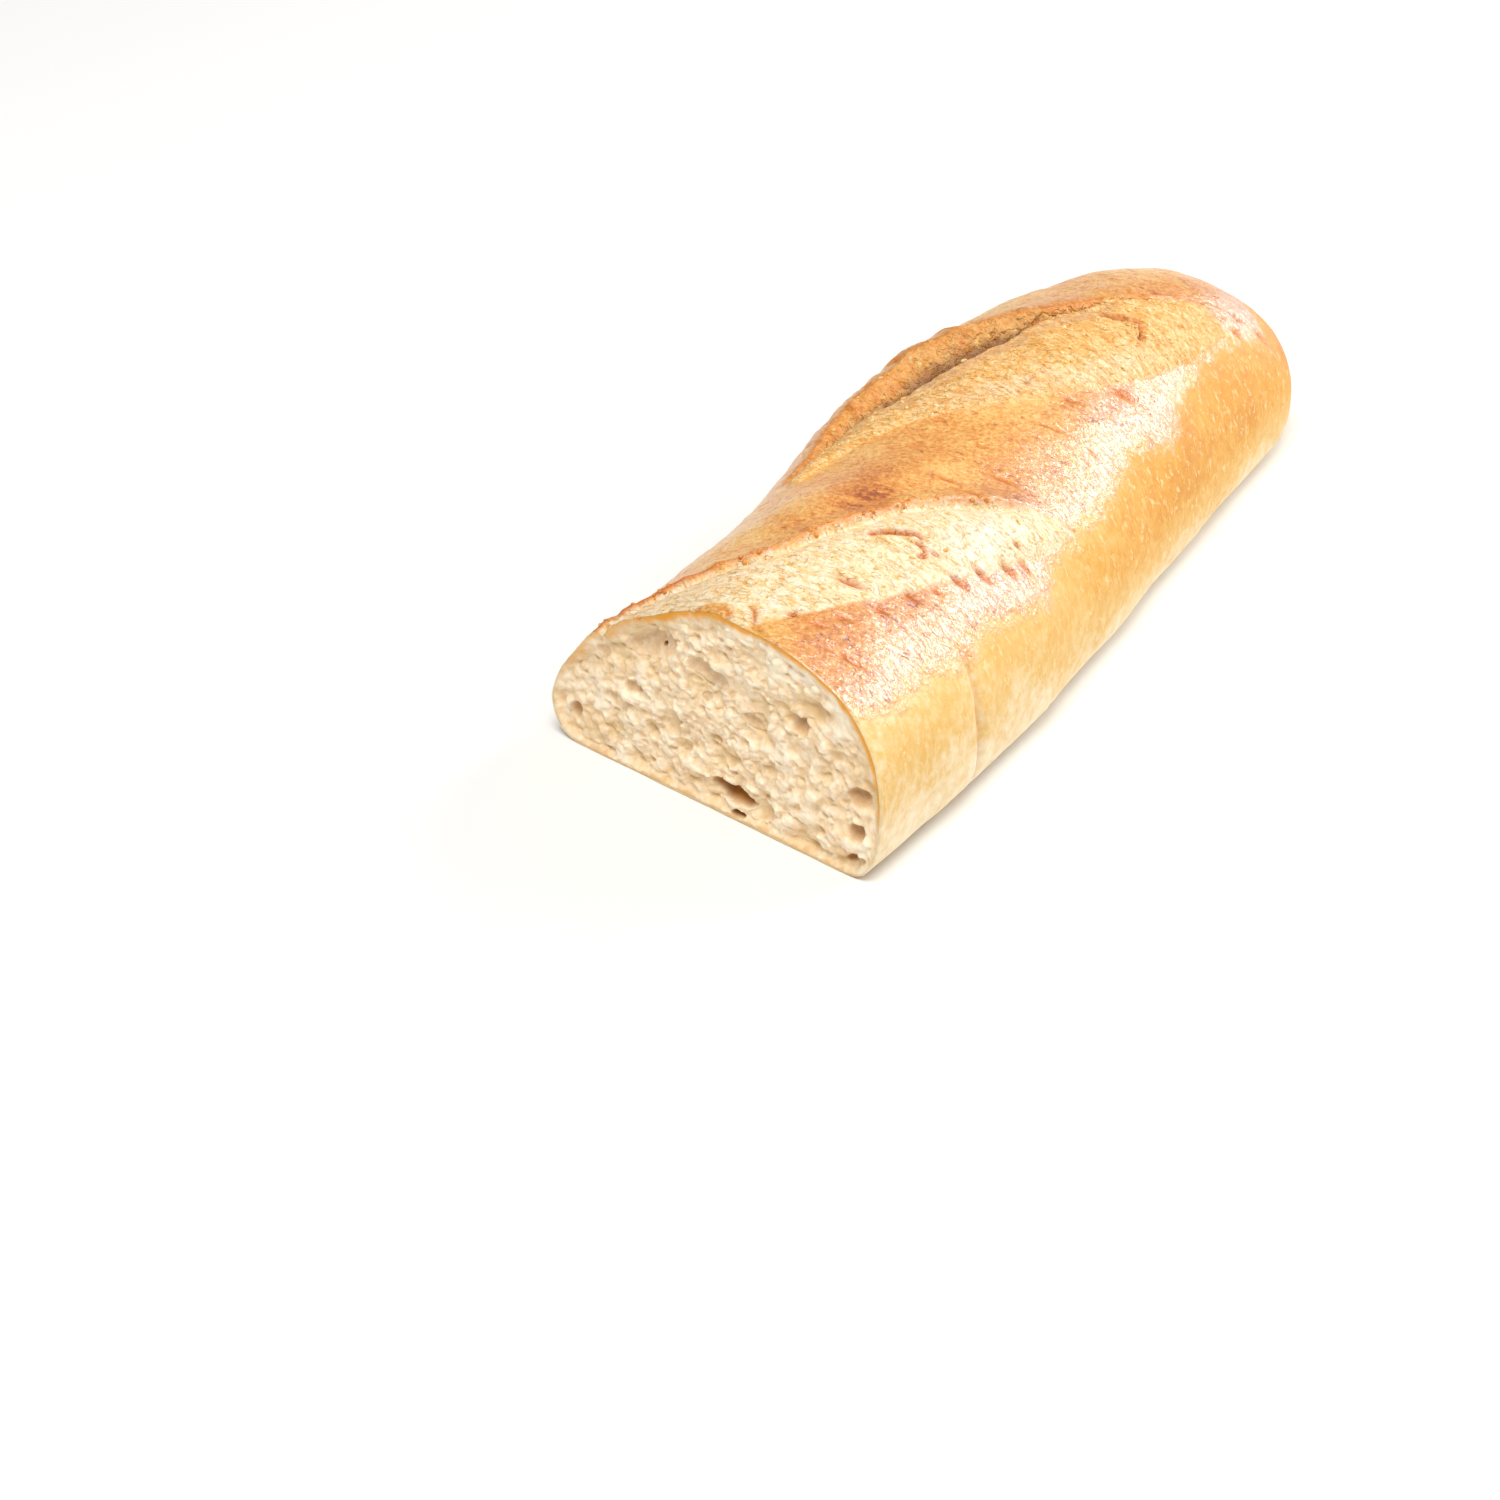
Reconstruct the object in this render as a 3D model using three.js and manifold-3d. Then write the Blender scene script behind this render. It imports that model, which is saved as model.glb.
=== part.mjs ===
// A cut length of baguette: one solid loaf with a rounded end, a flat sole, two open scores
// and a straight cut across the other end that lays the crumb open.
// Millimetres, +Z up, +X from the cut to the rounded end, +Y to the loaf's left seen from the cut.
// The origin lies on the ground under the middle of the loaf's box.

import * as THREE from 'three';
import { mergeVertices } from 'three/addons/utils/BufferGeometryUtils.js';
import Module from 'manifold-3d';

// Where the middle of the box lies, measured from the middle of the cut's foot.
const BOX_MIDDLE_X = 107.98;
const BOX_MIDDLE_Y = -2.37;

// The body, at stations along its length: widths to either side, heights and roundness.
const STATION_X = [0, 45, 95, 145, 190, 228];
const WIDTH_LEFT = [44.7, 33.4, 38.1, 40.2, 27.4, 22.3];
const WIDTH_RIGHT = [46.6, 49.3, 47.9, 44.8, 43.9, 51.2];
const CREST_HEIGHT = [47.8, 49.8, 46.7, 50.2, 48.4, 46.4];
const CREST_Y = [-9.8, -2.2, -8, -8, -8, -8];
const SHOULDER_LEFT = [9, 11, 12, 12, 12, 12];
const SHOULDER_RIGHT = [17, 15, 13, 12, 12, 12];
const ROUNDNESS_LEFT = [1.6, 1.8, 2, 2, 2, 2];
const ROUNDNESS_RIGHT = [2.4, 2.3, 2.1, 2.1, 2.1, 2.1];

// The lower corners turn in to the flat sole.
const SOLE_INSET = 9;
const CORNER_ROUNDNESS = 2.4;

// The rounded end: where it starts, its nose, and how blunt it is in plan, height and foot.
const END_START_X = 160;
const NOSE = { x: 225.6, y: -13.4, z: 13.3 };
const END_BLUNT_PLAN = 2.85;
const END_BLUNT_HEIGHT = 2.54;
const END_BLUNT_FOOT = 8;

// The cut runs slightly askew: its left edge lies further along the loaf than its right edge.
const CUT_SKEW = 0.207;
const CUT_SKEW_REACH = 60;

// The score beside the cut: a leaf from its tip back towards the cut, almost flush with the crust.
// Distances run from the tip along the leaf; low and high are its two edges to either side.
const NEAR_SCORE = {
  tip: [90, -40],
  back: [1, 11],
  distance: [0, 16, 31, 45, 59, 74, 88, 106],
  low: [-1, -8.6, -14.5, -18, -21, -21.6, -20, -20],
  high: [1, 4.4, 6.3, 5.9, 4.2, 3, 10, 20],
  swell: 1.0,
  lipRaise: 1.2,
  lipWidth: 5,
  grooveDepth: 0.8,
  grooveWidth: 1.4,
  fade: 20,
};

// The far score: a pale ridge of dough, a deep crevice behind it, and a raised torn lip.
const FAR_SCORE = {
  tip: [189, -28],
  back: [60, 14],
  distance: [0, 20, 40, 55, 70, 85, 100, 118, 136],
  low: [-5, -11.5, -14.2, -13.8, -8.5, -2.6, 4, 5, 0],
  ridge: [3, 7, 11, 11.5, 12.2, 13.9, 15.5, 10, 3],
  lip: [6, 10.5, 15, 23, 29, 27, 23.5, 14, 6],
  depth: [0, 0.9, 2.2, 5.5, 8, 8, 6, 3, 0],
  raise: [0, 0.6, 1.6, 3, 3.6, 3.6, 3, 2, 0],
  bottomShare: 0.3,
  swell: 1.2,
  lipFall: 12,
  fade: 14,
};

// A shallow crease down the right flank, beside the cut.
const CREASE = { x: 31, depth: 1.1, width: 3.2, top: 36, foot: 6 };

// The slow unevenness of a hand-shaped loaf.
const UNEVEN = { depth: 0.35, lengthX: 41, lengthY: 27 };

// How finely the solid is divided.
const BODY_STEP = 2.9;
const END_STEPS = 22;
const SOLE_STEPS = 9;
const CORNER_STEPS = 4;
const FINE_STEPS = 160;
// Steps from the left shoulder over the top to the right shoulder, between the edges of the
// scores: far lip, crevice bottom, ridge and low edge, then near lip, groove and low edge.
const BAND_STEPS = [10, 3, 2, 5, 5, 1, 7, 10];
const LEAST_BAND = 1.1;

// The larger holes of the crumb where the cut opens them: place across and up the cut, half
// widths across and up, depth into the loaf, and lean of the hole's long side in degrees.
const CRUMB_HOLES = [
  { y: 16.3, z: 32.6, across: 7.2, up: 3.2, deep: 3.6, lean: -24 },
  { y: 0.7, z: 31.9, across: 5.4, up: 2.9, deep: 3.2, lean: 10 },
  { y: -24.3, z: 29.3, across: 2.7, up: 2.2, deep: 3.4, lean: 0 },
  { y: -5.9, z: 5.6, across: 5.8, up: 2.1, deep: 4.0, lean: 8 },
  { y: -39.4, z: 18.5, across: 3.2, up: 2.4, deep: 3.6, lean: -20 },
  { y: -39.4, z: 10.2, across: 2.4, up: 2.3, deep: 3.4, lean: 0 },
  { y: 38.2, z: 7.4, across: 1.6, up: 2.4, deep: 2.8, lean: 0 },
  { y: -11.5, z: 24.6, across: 2.6, up: 1.7, deep: 2.4, lean: 30 },
  { y: 22.4, z: 19.8, across: 2.3, up: 1.6, deep: 2.0, lean: -15 },
];
const HOLE_SEGMENTS = 12;
const HOLE_RINGS = 8;

const CRUST_COLOUR = '#dba05a';
const CRUST_ROUGHNESS = 0.6;

// Smooth curve through values at growing stations, level with its neighbours' slope.
function along(stations, values, position) {
  const last = stations.length - 1;
  const at = Math.min(Math.max(position, stations[0]), stations[last]);
  let i = 0;
  while (i < last - 1 && stations[i + 1] < at) i += 1;
  const slope = (k) => {
    const before = Math.max(k - 1, 0);
    const after = Math.min(k + 1, last);
    return (values[after] - values[before]) / (stations[after] - stations[before]);
  };
  const span = stations[i + 1] - stations[i];
  const t = (at - stations[i]) / span;
  const t2 = t * t;
  const t3 = t2 * t;
  return (2 * t3 - 3 * t2 + 1) * values[i] + (t3 - 2 * t2 + t) * span * slope(i)
    + (3 * t2 - 2 * t3) * values[i + 1] + (t3 - t2) * span * slope(i + 1);
}

// Eases from 0 to 1 between two limits.
function ease(from, to, value) {
  const t = Math.min(Math.max((value - from) / (to - from), 0), 1);
  return t * t * (3 - 2 * t);
}

// A bell of height 1 at zero that falls off over the given width.
function bell(offset, width) {
  return Math.exp(-((offset / width) ** 2));
}

// The length of a polyline up to each of its points, each point a list of numbers.
function lengthsAlong(points) {
  const lengths = [0];
  for (let i = 1; i < points.length; i += 1) {
    const step = Math.hypot(...points[i].map((value, axis) => value - points[i - 1][axis]));
    lengths.push(lengths[i - 1] + step);
  }
  return lengths;
}

// The point of a polyline at a wanted length.
function pointAt(points, lengths, wanted) {
  let i = 0;
  while (i < lengths.length - 2 && lengths[i + 1] < wanted) i += 1;
  const t = (wanted - lengths[i]) / (lengths[i + 1] - lengths[i]);
  return points[i].map((value, axis) => value + (points[i + 1][axis] - value) * t);
}

// Divides a polyline into equal steps of its length.
function evenSteps(points, steps) {
  const lengths = lengthsAlong(points);
  const total = lengths[lengths.length - 1];
  return Array.from({ length: steps + 1 }, (_, k) => pointAt(points, lengths, (total * k) / steps));
}

// A quarter of a superellipse from (width, 0) to (0, height), as a fine polyline.
function quarter(width, height, roundness) {
  const points = [];
  for (let k = 0; k <= FINE_STEPS; k += 1) {
    const angle = (k / FINE_STEPS) * (Math.PI / 2);
    points.push([
      width * Math.abs(Math.cos(angle)) ** (2 / roundness),
      height * Math.abs(Math.sin(angle)) ** (2 / roundness),
    ]);
  }
  points[FINE_STEPS][0] = 0;
  points[0][1] = 0;
  return points;
}

// The cross-section at a place along the body, as three runs of [y, z] points: the right lower
// corner upwards, the left lower corner upwards, and the top finely from the left shoulder over
// the crest to the right shoulder.
function section(x) {
  const crestY = along(STATION_X, CREST_Y, x);
  const crest = along(STATION_X, CREST_HEIGHT, x);
  const side = (sign, widths, shoulders, roundnesses) => {
    const width = along(STATION_X, widths, x);
    const shoulder = along(STATION_X, shoulders, x);
    const roundness = along(STATION_X, roundnesses, x);
    const corner = evenSteps(quarter(SOLE_INSET, shoulder, CORNER_ROUNDNESS), CORNER_STEPS)
      .map(([inset, drop]) => [sign * (width - SOLE_INSET + inset), shoulder - drop])
      .reverse();
    const upper = quarter(width - sign * crestY, crest - shoulder, roundness)
      .map(([out, up]) => [crestY + sign * out, shoulder + up]);
    return { corner, upper };
  };
  const left = side(1, WIDTH_LEFT, SHOULDER_LEFT, ROUNDNESS_LEFT);
  const right = side(-1, WIDTH_RIGHT, SHOULDER_RIGHT, ROUNDNESS_RIGHT);
  const top = left.upper.concat(right.upper.reverse().slice(1));
  return { rightCorner: right.corner, leftCorner: left.corner, top };
}

// How a section shrinks towards the nose: shares of its width, height and foot that are left.
function endShares(t) {
  const share = (blunt) => (1 - t ** blunt) ** (1 / blunt);
  return { plan: share(END_BLUNT_PLAN), height: share(END_BLUNT_HEIGHT), foot: share(END_BLUNT_FOOT) };
}

// The places of the rings along the body, and how far each lies into the rounded end.
function ringPlaces() {
  const places = [];
  const bodySteps = Math.round(END_START_X / BODY_STEP);
  for (let k = 0; k <= bodySteps; k += 1) places.push({ x: (END_START_X * k) / bodySteps, t: 0 });
  const endLength = NOSE.x - END_START_X;
  const halfWidth = along(STATION_X, WIDTH_RIGHT, END_START_X);
  const outline = quarter(halfWidth, endLength, END_BLUNT_PLAN);
  const rings = evenSteps(outline, END_STEPS);
  for (let k = 1; k < END_STEPS; k += 1) {
    const t = rings[k][1] / endLength;
    places.push({ x: END_START_X + endLength * t, t });
  }
  return places;
}

// A point of a section set in its place along the loaf: drawn in towards the nose in the rounded
// end, and drawn along by the skew of the cut.
function placed({ x, t }, [y, z]) {
  const shares = endShares(t);
  const skew = CUT_SKEW * (1 - ease(0, CUT_SKEW_REACH, x));
  const placedY = NOSE.y + (y - NOSE.y) * shares.plan;
  const placedZ = NOSE.z + (z - NOSE.z) * (z > NOSE.z ? shares.height : shares.foot);
  return [x + skew * placedY, placedY, placedZ];
}

// Distances from a score's tip, along the score and across it.
function scorePlace(score, x, y) {
  const [tipX, tipY] = score.tip;
  const [backX, backY] = score.back;
  const length = Math.hypot(backX - tipX, backY - tipY);
  const dirX = (backX - tipX) / length;
  const dirY = (backY - tipY) / length;
  const fromX = x - tipX;
  const fromY = y - tipY;
  return { distance: fromX * dirX + fromY * dirY, across: fromY * -dirX + fromX * dirY };
}

// The edges of the far score at a distance along it.
function farEdges(distance) {
  const at = (values) => along(FAR_SCORE.distance, values, distance);
  const ridge = at(FAR_SCORE.ridge);
  const lip = at(FAR_SCORE.lip);
  const bottom = ridge + (lip - ridge) * FAR_SCORE.bottomShare;
  return { low: at(FAR_SCORE.low), ridge, bottom, lip };
}

// The edges of the near score at a distance along it.
function nearEdges(distance) {
  const at = (values) => along(NEAR_SCORE.distance, values, distance);
  const high = at(NEAR_SCORE.high);
  return { low: at(NEAR_SCORE.low), groove: high - NEAR_SCORE.grooveWidth, high };
}

// The edges that a row of points follows, from the loaf's left to its right.
const FOLLOWED_EDGES = [
  { score: FAR_SCORE, edge: (distance) => farEdges(distance).lip },
  { score: FAR_SCORE, edge: (distance) => farEdges(distance).bottom },
  { score: FAR_SCORE, edge: (distance) => farEdges(distance).ridge },
  { score: FAR_SCORE, edge: (distance) => farEdges(distance).low },
  { score: NEAR_SCORE, edge: (distance) => nearEdges(distance).high },
  { score: NEAR_SCORE, edge: (distance) => nearEdges(distance).groove },
  { score: NEAR_SCORE, edge: (distance) => nearEdges(distance).low },
];

// The length along a ring's top at which it meets an edge, or null where it misses the score.
function crossing({ score, edge }, top, lengths) {
  const beyond = top.map(([x, y]) => {
    const { distance, across } = scorePlace(score, x, y);
    return { distance, gap: across - edge(distance) };
  });
  for (let k = 1; k < top.length; k += 1) {
    const before = beyond[k - 1];
    const after = beyond[k];
    if (before.gap >= 0 && after.gap < 0) {
      if (after.distance < 0) return null;
      const t = before.gap / (before.gap - after.gap);
      return lengths[k - 1] + (lengths[k] - lengths[k - 1]) * t;
    }
  }
  return null;
}

// One ring of points of the body before its relief: along the sole to the left, up the left
// side, over the top and down the right side. The shares say where each edge last crossed.
function ring(place, shares) {
  const { rightCorner, leftCorner, top } = section(place.x);
  const set = (points) => points.map((point) => placed(place, point));
  const placedTop = set(top);
  const lengths = lengthsAlong(placedTop);
  const total = lengths[lengths.length - 1];
  const stops = [0, ...FOLLOWED_EDGES.map((followed, k) => {
    const found = crossing(followed, placedTop, lengths);
    return found === null ? shares[k] * total : found;
  }), total];
  for (let k = stops.length - 2; k > 0; k -= 1) {
    const room = Math.min(LEAST_BAND, total / (3 * stops.length));
    stops[k] = Math.min(stops[k], stops[k + 1] - room);
  }
  FOLLOWED_EDGES.forEach((_, k) => {
    shares[k] = stops[k + 1] / total;
  });
  const upper = [];
  BAND_STEPS.forEach((steps, band) => {
    for (let k = 1; k <= steps; k += 1) {
      const wanted = stops[band] + ((stops[band + 1] - stops[band]) * k) / steps;
      upper.push(pointAt(placedTop, lengths, wanted));
    }
  });
  const [soleRight] = rightCorner[0];
  const [soleLeft] = leftCorner[0];
  const sole = Array.from({ length: SOLE_STEPS - 1 }, (_, k) => (
    [soleRight + ((soleLeft - soleRight) * (k + 1)) / SOLE_STEPS, 0]
  ));
  const down = rightCorner.slice(0, -1).reverse();
  return [...set(sole), ...set(leftCorner), ...upper, ...set(down)]
    .map(([x, y, z]) => new THREE.Vector3(x, y, z));
}

// Height of the near score over the plain body.
function nearRelief(x, y) {
  const score = NEAR_SCORE;
  const { distance, across } = scorePlace(score, x, y);
  const { low, groove, high } = nearEdges(distance);
  if (distance < 0 || across < low) return 0;
  const fade = ease(0, score.fade, distance);
  if (across > high) return fade * score.lipRaise * bell(across - high, score.lipWidth);
  if (across > groove) {
    const t = (across - groove) / (high - groove);
    return fade * (score.lipRaise * t - score.grooveDepth * (1 - t));
  }
  const t = (across - low) / (groove - low);
  const swell = score.swell * 4 * t * (1 - t);
  return fade * (swell - score.grooveDepth * bell(groove - across, score.grooveWidth * 2));
}

// Height of the far score over the plain body: ridge, crevice and raised lip.
function farRelief(x, y) {
  const score = FAR_SCORE;
  const { distance, across } = scorePlace(score, x, y);
  const end = score.distance[score.distance.length - 1];
  const { low, ridge, bottom, lip } = farEdges(distance);
  if (distance < 0 || distance > end || across < low) return 0;
  const depth = along(score.distance, score.depth, distance);
  const raise = along(score.distance, score.raise, distance);
  const fade = ease(0, score.fade, distance) * ease(0, score.fade, end - distance);
  const ridgeHeight = score.swell * Math.sin(0.75 * Math.PI);
  if (across <= ridge) {
    return fade * score.swell * Math.sin((0.75 * Math.PI * (across - low)) / (ridge - low));
  }
  if (across <= bottom) {
    const t = (across - ridge) / (bottom - ridge);
    return fade * (ridgeHeight * (1 - t) - depth * t);
  }
  if (across <= lip) {
    const t = (across - bottom) / (lip - bottom);
    return fade * ((raise + depth) * (1 - (1 - t) ** 1.4) - depth);
  }
  return fade * raise * (1 - ease(0, score.lipFall, across - lip));
}

// Depth of the crease down the right flank.
function creaseRelief(x, y, z) {
  if (y > 0) return 0;
  const reach = ease(CREASE.foot - 4, CREASE.foot + 4, z) * (1 - ease(CREASE.top - 6, CREASE.top, z));
  return -CREASE.depth * reach * bell(x - CREASE.x, CREASE.width);
}

// Slow unevenness over the whole upper crust.
function unevenRelief(x, y) {
  const wave = Math.sin(x / UNEVEN.lengthX * 2 * Math.PI + y / UNEVEN.lengthY);
  return UNEVEN.depth * wave * Math.cos(y / UNEVEN.lengthY * 2 * Math.PI - x / UNEVEN.lengthX);
}

// Every ring with its relief raised along the body's own outward direction.
function reliefRings() {
  const shares = FOLLOWED_EDGES.map((_, k) => (k + 1) / (FOLLOWED_EDGES.length + 1));
  const rings = ringPlaces().map((place) => ring(place, shares));
  const count = rings[0].length;
  return rings.map((points, i) => points.map((point, j) => {
    const before = rings[Math.max(i - 1, 0)][j];
    const after = rings[Math.min(i + 1, rings.length - 1)][j];
    const next = points[(j + 1) % count];
    const previous = points[(j + count - 1) % count];
    const onward = new THREE.Vector3().subVectors(after, before);
    const round = new THREE.Vector3().subVectors(next, previous);
    const outward = new THREE.Vector3().crossVectors(onward, round).normalize().negate();
    if (i === 0) outward.set(CUT_SKEW * outward.y, outward.y, outward.z).normalize();
    const upper = ease(6, 20, point.z);
    const height = upper * (nearRelief(point.x, point.y) + farRelief(point.x, point.y)
      + unevenRelief(point.x, point.y)) + creaseRelief(point.x, point.y, point.z);
    return point.clone().addScaledVector(outward, height);
  }));
}

// The closed loaf before its crumb holes are opened.
function loafGeometry() {
  const rings = reliefRings();
  const count = rings[0].length;
  const positions = [];
  rings.forEach((points) => points.forEach((p) => positions.push(p.x, p.y, p.z)));
  const nose = positions.length / 3;
  positions.push(NOSE.x, NOSE.y, NOSE.z);
  const cutMiddle = nose + 1;
  const crestMiddle = CREST_HEIGHT[0] / 2;
  positions.push(0, 0, crestMiddle);
  const faces = [];
  for (let i = 0; i < rings.length - 1; i += 1) {
    for (let j = 0; j < count; j += 1) {
      const a = i * count + j;
      const b = i * count + ((j + 1) % count);
      faces.push(a, b, a + count, b, b + count, a + count);
    }
  }
  const lastRing = (rings.length - 1) * count;
  for (let j = 0; j < count; j += 1) {
    const next = (j + 1) % count;
    faces.push(nose, lastRing + j, lastRing + next);
    faces.push(cutMiddle, next, j);
  }
  const geometry = new THREE.BufferGeometry();
  geometry.setAttribute('position', new THREE.Float32BufferAttribute(positions, 3));
  geometry.setIndex(faces);
  return geometry;
}

// One hollow of the crumb, as an ellipsoid across the cut.
function holeGeometry(hole) {
  const geometry = new THREE.SphereGeometry(1, HOLE_SEGMENTS, HOLE_RINGS);
  geometry.scale(hole.deep, hole.across, hole.up);
  geometry.rotateX(THREE.MathUtils.degToRad(hole.lean));
  geometry.translate(CUT_SKEW * hole.y, hole.y, hole.z);
  geometry.deleteAttribute('normal');
  geometry.deleteAttribute('uv');
  return mergeVertices(geometry);
}

const wasm = await Module();
wasm.setup();

// A three.js geometry as a solid for joining and cutting.
function toSolid(geometry) {
  const vertProperties = new Float32Array(geometry.getAttribute('position').array);
  const triVerts = new Uint32Array(geometry.getIndex().array);
  return new wasm.Manifold(new wasm.Mesh({ numProp: 3, vertProperties, triVerts }));
}

// A solid back as a three.js geometry.
function toGeometry(solid) {
  const mesh = solid.getMesh();
  const geometry = new THREE.BufferGeometry();
  geometry.setAttribute('position', new THREE.BufferAttribute(mesh.vertProperties, 3));
  geometry.setIndex(new THREE.BufferAttribute(mesh.triVerts, 1));
  geometry.computeVertexNormals();
  return geometry;
}

// The finished loaf with its crumb holes open at the cut.
function buildLoaf() {
  let solid = toSolid(loafGeometry());
  CRUMB_HOLES.forEach((hole) => {
    solid = solid.subtract(toSolid(holeGeometry(hole)));
  });
  const geometry = toGeometry(solid);
  geometry.translate(-BOX_MIDDLE_X, -BOX_MIDDLE_Y, 0);
  const material = new THREE.MeshStandardMaterial({
    color: CRUST_COLOUR, roughness: CRUST_ROUGHNESS, metalness: 0,
  });
  const loaf = new THREE.Mesh(geometry, material);
  loaf.name = 'loaf';
  return loaf;
}

const baguette = new THREE.Group();
baguette.add(buildLoaf());

export default baguette;
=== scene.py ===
"""Looks of a cut length of baguette: baked crust with two open scores, and the crumb at its cut.

Sizes are in millimetres from the middle of the cut's foot, +X from the cut to the rounded end,
+Y to the loaf's left and +Z up. Meshes are moved to the frame and into metres when they are made.
"""

import logging
import math
from dataclasses import dataclass, field
from enum import Enum
from typing import Any, Callable

import bpy
import numpy as np
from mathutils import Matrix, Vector


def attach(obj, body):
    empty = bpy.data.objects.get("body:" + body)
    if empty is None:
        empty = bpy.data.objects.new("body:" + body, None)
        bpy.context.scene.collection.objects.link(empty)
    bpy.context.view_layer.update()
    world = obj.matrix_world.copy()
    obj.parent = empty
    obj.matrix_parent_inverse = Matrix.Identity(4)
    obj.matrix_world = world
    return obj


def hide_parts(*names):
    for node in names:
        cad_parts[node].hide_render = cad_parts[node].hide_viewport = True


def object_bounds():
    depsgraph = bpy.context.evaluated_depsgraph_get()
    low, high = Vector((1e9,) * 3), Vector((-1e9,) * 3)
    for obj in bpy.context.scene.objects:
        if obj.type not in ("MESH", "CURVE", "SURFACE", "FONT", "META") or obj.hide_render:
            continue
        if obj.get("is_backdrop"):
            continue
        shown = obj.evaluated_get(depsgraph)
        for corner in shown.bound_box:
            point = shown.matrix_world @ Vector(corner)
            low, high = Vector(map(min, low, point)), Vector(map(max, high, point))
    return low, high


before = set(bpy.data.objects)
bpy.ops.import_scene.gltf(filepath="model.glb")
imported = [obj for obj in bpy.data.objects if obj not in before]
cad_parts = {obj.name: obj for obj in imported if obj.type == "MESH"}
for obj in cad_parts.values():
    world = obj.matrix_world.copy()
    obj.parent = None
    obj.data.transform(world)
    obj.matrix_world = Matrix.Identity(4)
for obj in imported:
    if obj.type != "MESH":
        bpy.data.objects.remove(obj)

LOG = logging.getLogger("baguette")
METRES = 0.001
BOX_MIDDLE = np.array([107.98, -2.37, 0.0])
NODE = "loaf"
BODY = "root"
Array = np.ndarray


class Slot(Enum):
    """The record's material slots."""

    CRUST = "crust"
    CRUMB = "crumb"


# Small curves and fields


def along(stations: Array, values: Array, position: Array) -> Array:
    """Smooth curve through values at growing stations, level with its neighbours' slope.

    Args:
        stations: growing places.
        values: the value at each station.
        position: where the curve is read.

    Returns:
        The curve's value at each position.
    """
    xs = np.asarray(stations, float)
    vs = np.asarray(values, float)
    slopes = np.empty_like(vs)
    slopes[1:-1] = (vs[2:] - vs[:-2]) / (xs[2:] - xs[:-2])
    slopes[0] = (vs[1] - vs[0]) / (xs[1] - xs[0])
    slopes[-1] = (vs[-1] - vs[-2]) / (xs[-1] - xs[-2])
    at = np.clip(position, xs[0], xs[-1])
    i = np.clip(np.searchsorted(xs, at) - 1, 0, len(xs) - 2)
    span = xs[i + 1] - xs[i]
    t = (at - xs[i]) / span
    t2, t3 = t * t, t * t * t
    return (
        (2 * t3 - 3 * t2 + 1) * vs[i]
        + (t3 - 2 * t2 + t) * span * slopes[i]
        + (3 * t2 - 2 * t3) * vs[i + 1]
        + (t3 - t2) * span * slopes[i + 1]
    )


def ease(start: float, end: float, value: Array) -> Array:
    """Eases from 0 to 1 between two limits."""
    t = np.clip((value - start) / (end - start), 0, 1)
    return t * t * (3 - 2 * t)


def bell(offset: Array, width: float) -> Array:
    """A bell of height 1 at zero that falls off over the given width."""
    return np.exp(-((offset / width) ** 2))


def scattered(mixed: Array, seed: int) -> Array:
    """A fixed random number between 0 and 1 for each mixed whole number.

    Args:
        mixed: whole numbers.
        seed: which set of random numbers.

    Returns:
        One number for each of them.
    """
    h = mixed + np.uint64(seed) * np.uint64(0x27D4EB2F165667C5)
    h ^= h >> np.uint64(29)
    h *= np.uint64(0xBF58476D1CE4E5B9)
    h ^= h >> np.uint64(32)
    return (h & np.uint64(0xFFFFFF)).astype(np.float64) / float(0xFFFFFF)


def mixed_axis(cells: Array, axis: int) -> Array:
    """Whole numbers of one axis, mixed so that they can be joined with another axis."""
    factors = (0x9E3779B185EBCA87, 0xC2B2AE3D27D4EB4F, 0x165667B19E3779F9)
    return cells.astype(np.int64).astype(np.uint64) * np.uint64(factors[axis])


def lattice_values(cells: Array, seed: int) -> Array:
    """A fixed random number between 0 and 1 for each whole-numbered cell of three axes."""
    joined = mixed_axis(cells[..., 0], 0) ^ mixed_axis(cells[..., 1], 1) ^ mixed_axis(cells[..., 2], 2)
    return scattered(joined, seed)


def noise(points: Array, size: Any, seed: int, octaves: int = 1) -> Array:
    """Smooth random field between about -1 and 1.

    Args:
        points: places, three numbers each.
        size: the size of its features, one number or one for each axis.
        seed: which field.
        octaves: how many finer layers are added, each half as strong.

    Returns:
        The field at each place.
    """
    total = np.zeros(points.shape[:-1])
    weight = 0.0
    sizes = np.broadcast_to(np.asarray(size, float), (3,))
    for octave in range(octaves):
        share = 0.5**octave
        ends = []
        for axis in range(3):
            p = points[..., axis] / (sizes[axis] * share)
            cell = np.floor(p)
            f = p - cell
            f = f * f * (3 - 2 * f)
            ends.append(((mixed_axis(cell, axis), 1 - f), (mixed_axis(cell + 1, axis), f)))
        layer = np.zeros_like(total)
        for mixed_x, near_x in ends[0]:
            for mixed_y, near_y in ends[1]:
                for mixed_z, near_z in ends[2]:
                    joined = mixed_x ^ mixed_y ^ mixed_z
                    layer += near_x * near_y * near_z * scattered(joined, seed + octave)
        total += share * (2 * layer - 1)
        weight += share
    return total / weight


def line_noise(distance: Array, size: float, seed: int, octaves: int = 3) -> Array:
    """A smooth random curve between about -1 and 1, for ragged edges.

    Args:
        distance: distance along the edge.
        size: the size of its features.
        seed: which curve.
        octaves: how many finer layers are added.

    Returns:
        The curve's value at each distance.
    """
    total = np.zeros_like(distance)
    weight = 0.0
    for octave in range(octaves):
        share = 0.5**octave
        p = distance / (size * share)
        cell = np.floor(p)
        f = p - cell
        f = f * f * (3 - 2 * f)
        low = scattered(mixed_axis(cell, 0), seed + octave)
        high = scattered(mixed_axis(cell + 1, 0), seed + octave)
        total += share * (2 * (low + (high - low) * f) - 1)
        weight += share
    return total / weight


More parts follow.
